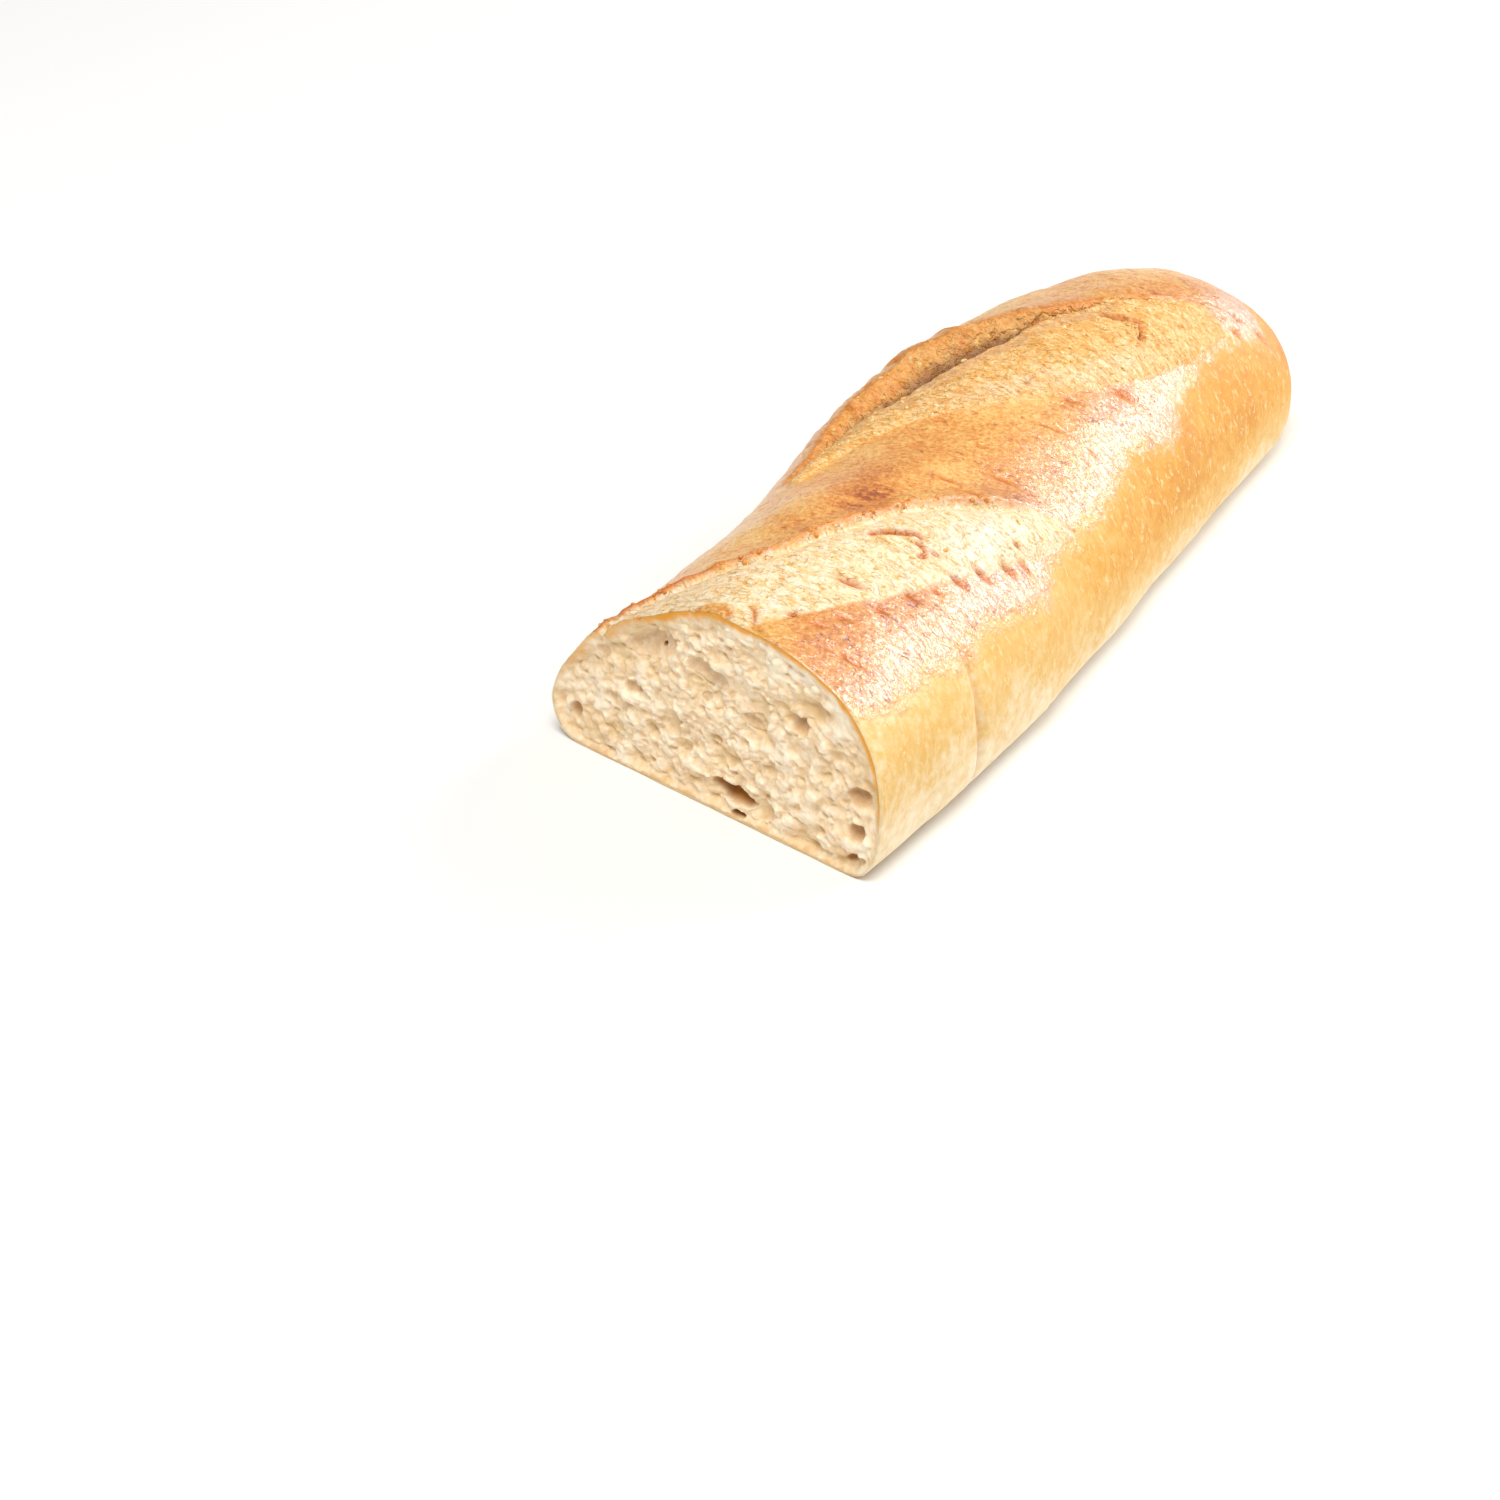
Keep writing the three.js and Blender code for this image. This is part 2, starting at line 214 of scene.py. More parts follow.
@dataclass(frozen=True)
class Grain:
    """A random unevenness of the dough: what it adds at most, its features' size and its seed.

    Where fold is set, the lines on which the field is zero become ridges.
    """

    share: float
    size: float | tuple[float, float, float]
    seed: int
    octaves: int = 1
    fold: float = 0.0

    def at(self, p: Array) -> Array:
        """What it adds at each place.

        Args:
            p: places in millimetres.

        Returns:
            One number to a place.
        """
        found = noise(p, self.size, self.seed, self.octaves)
        if self.fold:
            found = 1 - self.fold * np.abs(found)
        return self.share * found


@dataclass(frozen=True)
class Wander:
    """How far an edge wanders along its length, how quickly, and its seed."""

    share: float
    size: float
    seed: int

    def at(self, distance: Array) -> Array:
        """How far it is off at each distance."""
        return self.share * line_noise(distance, self.size, self.seed)


def lengths_of(points: Array) -> Array:
    """The length of each polyline up to each of its points, counted along the second last axis.

    Args:
        points: the polylines' points.

    Returns:
        The length up to each point.
    """
    steps = np.linalg.norm(np.diff(points, axis=-2), axis=-1)
    start = np.zeros(steps.shape[:-1] + (1,))
    return np.concatenate([start, np.cumsum(steps, axis=-1)], axis=-1)


def points_at(points: Array, lengths: Array, wanted: Array) -> Array:
    """The points of one polyline at the wanted lengths."""
    return np.stack([np.interp(wanted, lengths, points[:, k]) for k in range(points.shape[1])], axis=-1)


def even_steps(points: Array, steps: int) -> Array:
    """One polyline divided into equal steps of its length."""
    lengths = lengths_of(points)
    return points_at(points, lengths, np.linspace(0, lengths[-1], steps + 1))


def quarter(width: Array, height: Array, roundness: Array, steps: int) -> tuple[Array, Array]:
    """Quarters of superellipses from (width, 0) to (0, height).

    Args:
        width: reach of each quarter.
        height: height of each quarter.
        roundness: exponent of each quarter.
        steps: how finely each is divided.

    Returns:
        The coordinates along the width and along the height, one row to a quarter.
    """
    angle = np.linspace(0, math.pi / 2, steps + 1)
    cosine, sine = np.cos(angle), np.sin(angle)
    cosine[-1] = 0.0
    power = 2 / np.atleast_1d(roundness)[:, None]
    out = np.atleast_1d(width)[:, None] * cosine[None] ** power
    up = np.atleast_1d(height)[:, None] * sine[None] ** power
    return out, up


# The loaf's own form


@dataclass(frozen=True)
class ScorePlace:
    """Where points lie from a score's tip: along the score, and across it to the loaf's left."""

    distance: Array
    across: Array


@dataclass(frozen=True)
class Score:
    """A cut that opened in the oven: a leaf from its tip back along the loaf."""

    tip: tuple[float, float]
    back: tuple[float, float]
    distance: tuple[float, ...]

    def place(self, x: Array, y: Array) -> ScorePlace:
        """Distances from the tip along and across the score.

        Args:
            x: places along the loaf.
            y: places across the loaf.

        Returns:
            The distances from the tip, along and across.
        """
        way = np.subtract(self.back, self.tip)
        way = way / np.linalg.norm(way)
        dx, dy = x - self.tip[0], y - self.tip[1]
        return ScorePlace(dx * way[0] + dy * way[1], dx * way[1] - dy * way[0])

    def read(self, values: tuple[float, ...], distance: Array) -> Array:
        """A size of the score at a distance along it."""
        return along(self.distance, values, distance)


@dataclass(frozen=True)
class NearScore(Score):
    """The score beside the cut, almost flush with the crust."""

    tip: tuple[float, float] = (90, -40)
    back: tuple[float, float] = (1, 11)
    distance: tuple[float, ...] = (0, 16, 31, 45, 59, 74, 88, 106)
    low: tuple[float, ...] = (-1, -8.6, -14.5, -18, -21, -21.6, -20, -20)
    high: tuple[float, ...] = (1, 4.4, 6.3, 5.9, 4.2, 3, 10, 20)
    swell: float = 1.0
    lip_raise: float = 1.2
    lip_width: float = 4.0
    groove_depth: float = 0.8
    groove_width: float = 1.2
    high_wander: Wander = Wander(0.35, 5.0, 31)
    high_frayed: Wander = Wander(0.45 * 0.35, 1.3, 37)
    low_wander: Wander = Wander(1.6 * 0.35, 3.5, 41)
    lip_wander: Wander = Wander(0.5, 2.2, 43)
    torn_gap: float = 0.3
    fade: float = 20.0

    def edges(self, distance: Array) -> dict[str, Array]:
        """The ragged edges of the leaf at a distance along it.

        Args:
            distance: distance along the score.

        Returns:
            The named edges, measured across the score.
        """
        high = self.read(self.high, distance) + self.high_wander.at(distance) + self.high_frayed.at(distance)
        low = self.read(self.low, distance) + self.low_wander.at(distance)
        return {"low": low, "groove": high - self.groove_width, "high": high}

    def relief(self, place: ScorePlace) -> Array:
        """Height over the plain body.

        Args:
            place: where the points lie from the score's tip.

        Returns:
            The height in millimetres.
        """
        e = self.edges(place.distance)
        s, c = place.distance, place.across
        fade = ease(0, self.fade, s) * (s > 0)
        lip = self.lip_raise * (1 + self.lip_wander.at(s))
        outer = lip * bell(c - e["high"], self.lip_width)
        t = np.clip((c - e["groove"]) / self.groove_width, 0, 1)
        step = lip * t - self.groove_depth * (1 - t)
        t = np.clip((c - e["low"]) / (e["groove"] - e["low"]), 0, 1)
        inner = self.swell * 4 * t * (1 - t)
        inner = inner - self.groove_depth * bell(e["groove"] - c, 2 * self.groove_width)
        height = np.where(c > e["high"], outer, np.where(c > e["groove"], step, inner))
        return fade * np.where(c < e["low"], 0, height)

    def inside(self, place: ScorePlace) -> Array:
        """Signed distance into the torn dough of the leaf.

        Args:
            place: where the points lie from the score's tip.

        Returns:
            Millimetres, more than 0 inside.
        """
        e = self.edges(place.distance)
        sides = np.minimum(place.across - e["low"], e["high"] - self.torn_gap - place.across)
        return np.minimum(sides, place.distance)


@dataclass(frozen=True)
class FarScore(Score):
    """The far score: a pale ridge of dough, a deep crevice behind it and a raised torn lip."""

    tip: tuple[float, float] = (189, -28)
    back: tuple[float, float] = (60, 14)
    distance: tuple[float, ...] = (0, 20, 40, 55, 70, 85, 100, 118, 136)
    low: tuple[float, ...] = (-5, -11.5, -14.2, -13.8, -8.5, -2.6, 4, 5, 0)
    ridge: tuple[float, ...] = (3, 7, 11, 11.5, 12.2, 13.9, 15.5, 10, 3)
    lip: tuple[float, ...] = (6, 10.5, 15, 23, 29, 27, 23.5, 14, 6)
    depth: tuple[float, ...] = (0, 0.9, 2.2, 5.5, 8, 8, 6, 3, 0)
    lift: tuple[float, ...] = (0, 0.6, 1.6, 3, 3.6, 3.6, 3, 2, 0)
    bottom_share: float = 0.3
    swell: float = 1.2
    swell_turn: float = 0.75 * math.pi
    wall_power: float = 1.4
    lip_fall: float = 12.0
    least_gap: float = 1.6
    ridge_wander: Wander = Wander(0.45, 7.0, 53)
    lip_wander: Wander = Wander(0.45, 3.0, 59)
    low_wander: Wander = Wander(1.5 * 0.45, 5.0, 61)
    lift_wander: Wander = Wander(0.25, 4.0, 67)
    fade: float = 14.0
    lean: float = 1.1
    lean_width: float = 2.2
    ridge_overlap: float = 0.5
    wall_gap: float = 0.2
    ridge_end: float = 4.0
    wall_ends: tuple[float, float] = (14.0, 8.0)

    def edges(self, distance: Array) -> dict[str, Array]:
        """The ragged edges of the opening at a distance along it.

        Args:
            distance: distance along the score.

        Returns:
            The named edges, measured across the score.
        """
        ridge = self.read(self.ridge, distance) + self.ridge_wander.at(distance)
        lip = self.read(self.lip, distance) + self.lip_wander.at(distance)
        lip = np.maximum(lip, ridge + self.least_gap)
        low = self.read(self.low, distance) + self.low_wander.at(distance)
        bottom = ridge + (lip - ridge) * self.bottom_share
        return {"low": low, "ridge": ridge, "bottom": bottom, "lip": lip}

    def presence(self, distance: Array) -> Array:
        """1 along the opening, easing to 0 at both its tips."""
        end = self.distance[-1]
        return ease(0, self.fade, distance) * ease(0, self.fade, end - distance)

    def relief(self, place: ScorePlace) -> Array:
        """Height over the plain body.

        Args:
            place: where the points lie from the score's tip.

        Returns:
            The height in millimetres.
        """
        e = self.edges(place.distance)
        s, c = place.distance, place.across
        depth = self.read(self.depth, s)
        lift = self.read(self.lift, s) * (1 + self.lift_wander.at(s))
        crest = self.swell * math.sin(self.swell_turn)
        inner = self.swell * np.sin(self.swell_turn * np.clip((c - e["low"]) / (e["ridge"] - e["low"]), 0, 1))
        t = np.clip((c - e["ridge"]) / (e["bottom"] - e["ridge"]), 0, 1)
        back = crest * (1 - t) - depth * t
        t = np.clip((c - e["bottom"]) / (e["lip"] - e["bottom"]), 0, 1)
        wall = (lift + depth) * (1 - (1 - t) ** self.wall_power) - depth
        outer = lift * (1 - ease(0, self.lip_fall, c - e["lip"]))
        height = np.where(
            c <= e["ridge"], inner, np.where(c <= e["bottom"], back, np.where(c <= e["lip"], wall, outer))
        )
        return self.presence(s) * np.where(c < e["low"], 0, height)

    def overhang(self, place: ScorePlace) -> Array:
        """How far the lip leans over the crevice, across the score.

        Args:
            place: where the points lie from the score's tip.

        Returns:
            Millimetres across the score.
        """
        e = self.edges(place.distance)
        strength = self.read(self.lift, place.distance) / max(self.lift)
        near_lip = bell(place.across - e["lip"], self.lean_width)
        return self.lean * strength * self.presence(place.distance) * near_lip

    def inside(self, place: ScorePlace) -> Array:
        """Signed distance into the pale ridge of dough.

        Args:
            place: where the points lie from the score's tip.

        Returns:
            Millimetres, more than 0 inside.
        """
        e = self.edges(place.distance)
        sides = np.minimum(place.across - e["low"], e["ridge"] + self.ridge_overlap - place.across)
        ends = np.minimum(place.distance, 0.5 * (self.distance[-1] - self.ridge_end - place.distance))
        return np.minimum(sides, ends)

    def wall(self, place: ScorePlace) -> Array:
        """Signed distance into the torn wall between the ridge and the lip.

        Args:
            place: where the points lie from the score's tip.

        Returns:
            Millimetres, more than 0 inside.
        """
        e = self.edges(place.distance)
        sides = np.minimum(
            place.across - e["ridge"] - self.ridge_overlap, e["lip"] - self.wall_gap - place.across
        )
        tip_gap, back_gap = self.wall_ends
        ends = 0.5 * np.minimum(place.distance - tip_gap, self.distance[-1] - back_gap - place.distance)
        return np.minimum(sides, ends)


@dataclass(frozen=True)
class Spot:
    """A pit, blister or patch of the crust: place, half length, half width, depth and bearing."""

    x: float
    y: float
    long: float
    wide: float
    depth: float = 0.0
    bearing: float = 0.0

    def strength(self, x: Array, y: Array) -> Array:
        """1 at the spot's middle, falling to 0 at its rim.

        Args:
            x: places along the loaf.
            y: places across the loaf.

        Returns:
            From 0 to 1.
        """
        a = math.radians(self.bearing)
        u = (x - self.x) * math.cos(a) + (y - self.y) * math.sin(a)
        v = (y - self.y) * math.cos(a) - (x - self.x) * math.sin(a)
        return np.exp(-((u / self.long) ** 2) - (v / self.wide) ** 2)


@dataclass(frozen=True)
class Crack:
    """A fine crack of the crust through a few plan points."""

    points: tuple[tuple[float, float], ...]
    width: float
    depth: float

    def strength(self, x: Array, y: Array) -> Array:
        """1 along the crack, falling to 0 to its sides.

        Args:
            x: places along the loaf.
            y: places across the loaf.

        Returns:
            From 0 to 1.
        """
        gap = np.full(x.shape, np.inf)
        for (x0, y0), (x1, y1) in zip(self.points, self.points[1:]):
            dx, dy = x1 - x0, y1 - y0
            t = np.clip(((x - x0) * dx + (y - y0) * dy) / (dx * dx + dy * dy), 0, 1)
            gap = np.minimum(gap, np.hypot(x - x0 - t * dx, y - y0 - t * dy))
        return bell(gap, self.width)


@dataclass(frozen=True)
class LoafBody:
    """The plain body of the loaf: sections at stations along its length, and a rounded end."""

    station_x: tuple[float, ...] = (0, 45, 95, 145, 190, 228)
    width_left: tuple[float, ...] = (44.7, 33.4, 38.1, 40.2, 27.4, 22.3)
    width_right: tuple[float, ...] = (46.6, 49.3, 47.9, 44.8, 43.9, 51.2)
    crest_height: tuple[float, ...] = (47.8, 49.8, 46.7, 50.2, 48.4, 46.4)
    crest_y: tuple[float, ...] = (-9.8, -2.2, -8, -8, -8, -8)
    shoulder_left: tuple[float, ...] = (9, 11, 12, 12, 12, 12)
    shoulder_right: tuple[float, ...] = (17, 15, 13, 12, 12, 12)
    roundness_left: tuple[float, ...] = (1.6, 1.8, 2, 2, 2, 2)
    roundness_right: tuple[float, ...] = (2.4, 2.3, 2.1, 2.1, 2.1, 2.1)
    sole_inset: float = 9.0
    corner_roundness: float = 2.4
    end_start_x: float = 160.0
    nose: tuple[float, float, float] = (225.6, -13.4, 13.3)
    end_blunt_plan: float = 2.85
    end_blunt_height: float = 2.54
    end_blunt_foot: float = 8.0
    cut_skew: float = 0.207
    cut_skew_reach: float = 60.0
    box: tuple[tuple[float, float, float], ...] = ((-9.6, -49.4, 0.0), (225.6, 44.65, 51.6))

    def at(self, values: tuple[float, ...], x: Array) -> Array:
        """A size of the body at a place along it."""
        return along(self.station_x, values, x)

    def ring_places(self, body_steps: int, end_steps: int) -> tuple[Array, Array]:
        """Where the rings lie along the loaf.

        Args:
            body_steps: steps from the cut to the rounded end.
            end_steps: steps over the rounded end.

        Returns:
            Each ring's place along the loaf, and how far it lies into the rounded end, 0 to 1.
        """
        straight = np.linspace(0, self.end_start_x, body_steps + 1)
        length = self.nose[0] - self.end_start_x
        half = self.at(self.width_right, self.end_start_x)
        out, up = quarter(half, length, self.end_blunt_plan, 400)
        outline = even_steps(np.stack([out[0], up[0]], axis=-1), end_steps)
        t = outline[1:-1, 1] / length
        places = np.concatenate([straight, self.end_start_x + length * t])
        return places, np.concatenate([np.zeros_like(straight), t])

    def placed(self, x: Array, t: Array, y: Array, z: Array) -> Array:
        """Sets section points in their place: drawn in towards the nose and along by the cut's skew.

        Args:
            x: places along the loaf.
            t: how far they lie into the rounded end.
            y: section points across.
            z: their heights.

        Returns:
            Their places on the loaf.
        """
        nose_x, nose_y, nose_z = self.nose
        plan = (1 - t**self.end_blunt_plan) ** (1 / self.end_blunt_plan)
        height = (1 - t**self.end_blunt_height) ** (1 / self.end_blunt_height)
        foot = (1 - t**self.end_blunt_foot) ** (1 / self.end_blunt_foot)
        skew = self.cut_skew * (1 - ease(0, self.cut_skew_reach, x))
        py = nose_y + (y - nose_y) * plan
        pz = nose_z + (z - nose_z) * np.where(z > nose_z, height, foot)
        return np.stack(np.broadcast_arrays(x + skew * py, py, pz), axis=-1)

    def tops(self, x: Array, t: Array, steps: int) -> Array:
        """The top of each ring, finely from the left shoulder over the crest to the right one.

        Args:
            x: the rings' places along the loaf.
            t: how far they lie into the rounded end.
            steps: how finely it is divided.

        Returns:
            One row of points to a ring.
        """
        crest_y, crest = self.at(self.crest_y, x), self.at(self.crest_height, x)
        sides = []
        for sign, widths, shoulders, roundnesses in (
            (1, self.width_left, self.shoulder_left, self.roundness_left),
            (-1, self.width_right, self.shoulder_right, self.roundness_right),
        ):
            shoulder = self.at(shoulders, x)
            reach = self.at(widths, x) - sign * crest_y
            out, up = quarter(reach, crest - shoulder, self.at(roundnesses, x), steps)
            sides.append((crest_y[:, None] + sign * out, shoulder[:, None] + up))
        (left_y, left_z), (right_y, right_z) = sides
        y = np.concatenate([left_y, right_y[:, ::-1][:, 1:]], axis=1)
        z = np.concatenate([left_z, right_z[:, ::-1][:, 1:]], axis=1)
        return self.placed(x[:, None], t[:, None], y, z)

    def corner(self, x: float, t: float, sign: int, steps: int) -> Array:
        """One lower corner of one ring, from the sole up to the shoulder.

        Args:
            x: the ring's place along the loaf.
            t: how far they lie into the rounded end.
            sign: 1 for the left side, -1 for the right.
            steps: how finely it is divided.

        Returns:
            Its points.
        """
        widths = self.width_left if sign > 0 else self.width_right
        shoulders = self.shoulder_left if sign > 0 else self.shoulder_right
        width, shoulder = float(self.at(widths, x)), float(self.at(shoulders, x))
        out, up = quarter(self.sole_inset, shoulder, self.corner_roundness, 60)
        line = even_steps(np.stack([out[0], up[0]], axis=-1), steps)[::-1]
        y = sign * (width - self.sole_inset + line[:, 0])
        return self.placed(np.float64(x), np.float64(t), y, shoulder - line[:, 1])


class MeshMaker:
    """Turns arrays in millimetres into Blender meshes in the frame."""

    @staticmethod
    def make(name: str, points: Array, faces: Array, values: dict[str, Array]) -> bpy.types.Object:
        """Makes a mesh object with smooth faces and float values on its points.

        Args:
            name: the piece's name.
            points: its points in millimetres.
            faces: rows of three or four point numbers; a triangle in a row of four ends in -1.
            values: named numbers for its points.

        Returns:
            The new object, linked to the scene.
        """
        mesh = bpy.data.meshes.new(name)
        spots = (points - BOX_MIDDLE) * METRES
        sizes = (faces >= 0).sum(axis=1)
        corners = faces[faces >= 0]
        mesh.vertices.add(len(spots))
        mesh.vertices.foreach_set("co", spots.astype(np.float32).ravel())
        mesh.loops.add(len(corners))
        mesh.loops.foreach_set("vertex_index", corners.astype(np.int32))
        mesh.polygons.add(len(faces))
        starts = np.concatenate([[0], np.cumsum(sizes)[:-1]])
        mesh.polygons.foreach_set("loop_start", starts.astype(np.int32))
        mesh.polygons.foreach_set("use_smooth", np.ones(len(faces), dtype=bool))
        mesh.update(calc_edges=True)
        for key, numbers in values.items():
            layer = mesh.attributes.new(key, "FLOAT", "POINT")
            layer.data.foreach_set("value", numbers.astype(np.float32))
        mesh.validate()
        piece = bpy.data.objects.new(name, mesh)
        bpy.context.scene.collection.objects.link(piece)
        return piece


def grid_faces(rows: int, columns: int, closed: bool) -> Array:
    """Quads of a grid of points, optionally closed round its columns.

    Args:
        rows: its rows.
        columns: its columns.
        closed: whether the last column meets the first.

    Returns:
        One row of four point numbers to a face.
    """
    i = np.arange(rows - 1)[:, None]
    j = np.arange(columns if closed else columns - 1)[None]
    after = (j + 1) % columns
    a, b = i * columns + j, i * columns + after
    return np.stack([a, b, b + columns, a + columns], axis=-1).reshape(-1, 4)


def outward_of(grid: Array) -> Array:
    """The outward direction at each point of a grid of rings that run leftwards over the top.

    Args:
        grid: rings of points.

    Returns:
        One unit vector to a point.
    """
    onward = np.gradient(grid, axis=0)
    ring = np.roll(grid, -1, axis=1) - np.roll(grid, 1, axis=1)
    out = -np.cross(onward, ring)
    return out / np.maximum(np.linalg.norm(out, axis=-1, keepdims=True), 1e-9)


@dataclass(frozen=True)
class Browning:
    """How far the crust is baked, and where flour lies on it and pale glaze and gloss, partly a painted
    highlight, from 0 to 1.
    """

    bake_start: float = 0.37
    bake_slow: Grain = Grain(0.15, 16.0, 83, 2)
    bake_fine: Grain = Grain(0.15, (3.6, 6.0, 6.0), 89, 3)
    dark_patch: Spot = Spot(57.0, -6.6, 9.0, 4.4)
    dark_patch_grain: Grain = Grain(1.0, (1.5, 4.2, 4.2), 92, 3)
    dark_patch_share: float = 0.46
    halo: Spot = Spot(62.0, -4.0, 26.0, 9.0)
    halo_share: float = 0.2
    lip_share: float = 0.12
    right_share: float = 0.24
    edge_share: float = 0.2
    rind_side: Spot = Spot(6.0, 24.0, 10.0, 3.5)
    rind_side_grain: Grain = Grain(1.0, (1.2, 5.0, 5.0), 93, 2)
    rind_side_share: float = 0.3
    rind_grain: Grain = Grain(0.25, (1.6, 2.6, 2.6), 101, 2)
    flank_grain: Grain = Grain(0.14, 10.0, 84, 3)
    flour_spot: Spot = Spot(203.0, -27.0, 9.0, 9.0)
    flour_grain: Grain = Grain(0.9, 4.0, 97, 3)
    flour_share: float = 0.8
    glaze_highlight_spot: Spot = Spot(62.0, -31.0, 15.0, 6.5)
    glaze_highlight_grain: Grain = Grain(0.5, 6.0, 98, 2)
    gloss_highlight_across: float = 4.0
    gloss_highlight_width: float = 3.8
    gloss_highlight_share: float = 0.36
    gloss_highlight_grain: Grain = Grain(0.9, (2.5, 5.0, 5.0), 99, 2)
    strip_width: float = 4.2
    strip_wander: Wander = Wander(1.6, 9.0, 79)

    def bake(self, p: Array, beyond_lip: Array, skin: Array) -> Array:
        """How brown the skin is.

        Args:
            p: points on the plain body.
            beyond_lip: 1 just beyond the far score's lip, where the skin is browner.
            skin: signed distance into the glazed skin.

        Returns:
            From 0, pale, to 1, brown, and a little past both.
        """
        x, y = p[..., 0], p[..., 1]
        bake = self.bake_start + self.bake_slow.at(p) + self.bake_fine.at(p)
        patch = self.dark_patch.strength(x, y)
        patch = patch * (0.12 + 1.1 * ease(-0.15, 0.2, self.dark_patch_grain.at(p)))
        bake = bake + self.dark_patch_share * patch + self.halo_share * self.halo.strength(x, y)
        bake = bake + self.lip_share * beyond_lip
        bake = bake + self.right_share * ease(-12, -30, y)
        bake = bake - self.edge_share * (1 - ease(-1.0, 4.0, skin))
        side = self.rind_side_share * self.rind_side.strength(x, y)
        return bake + side * (1 + self.rind_side_grain.at(p))

    def flank(self, p: Array) -> Array:
        """How golden the flanks are: pale at the cut and low down, deeper towards the end, and browner on the
        sole, whose bottom edge also serves as painted contact shade.

        Args:
            p: points on the plain body.

        Returns:
            From 0, pale, to 1, golden brown.
        """
        x, z = p[..., 0], p[..., 2]
        flank = 0.04 + 0.42 * ease(20, 150, x) * ease(0, 22, z) + 0.24 * ease(4, 26, z)
        # The sole's band is browner baked colour that also paints contact shade along the bottom edge.
        return flank + 0.2 * ease(204, 221, x) + 0.4 * (1 - ease(0, 1, z)) + self.flank_grain.at(p)

    def flour(self, p: Array) -> Array:
        """How much flour lies on the rounded end."""
        spot = self.flour_spot.strength(p[..., 0], p[..., 1])
        return self.flour_share * spot * (0.8 + self.flour_grain.at(p))

    def glaze_and_highlight(self, p: Array, far: ScorePlace, edges: dict[str, Array]) -> Array:
        """How much pale glaze lies beside the near score's tip and along the far ridge's foot, its paleness
        partly a painted highlight.

        Args:
            p: points on the plain body.
            far: where the points lie from the far score's tip.
            edges: the far score's edges there.

        Returns:
            From 0 to about 1.
        """
        glaze_and_highlight = self.glaze_highlight_spot.strength(p[..., 0], p[..., 1]) * (0.8 + self.glaze_highlight_grain.at(p))
        gloss_highlight = self.gloss_highlight_share * bell(far.across - edges["low"] - self.gloss_highlight_across, self.gloss_highlight_width)
        gloss_highlight = gloss_highlight * ease(24, 42, far.distance)
        gloss_highlight = gloss_highlight * (1 - ease(78, 98, far.distance)) * (0.9 + self.gloss_highlight_grain.at(p))
        return np.maximum(glaze_and_highlight, gloss_highlight)

    def strip(self, far: ScorePlace, edges: dict[str, Array], presence: Array) -> Array:
        """Where a browner strip runs along the ridge, beside the crevice.

        Args:
            far: where the points lie from the far score's tip.
            edges: the far score's edges there.
            presence: 1 along the far score, 0 beyond it.

        Returns:
            From 0 to 1.
        """
        width = self.strip_width + self.strip_wander.at(far.distance)
        strip = edges["ridge"] - far.across
        strip = ease(0.2, 0.8, strip) * (1 - ease(width, width + 0.8, strip)) * presence
        return strip * ease(22, 34, far.distance) * (1 - ease(88, 104, far.distance))


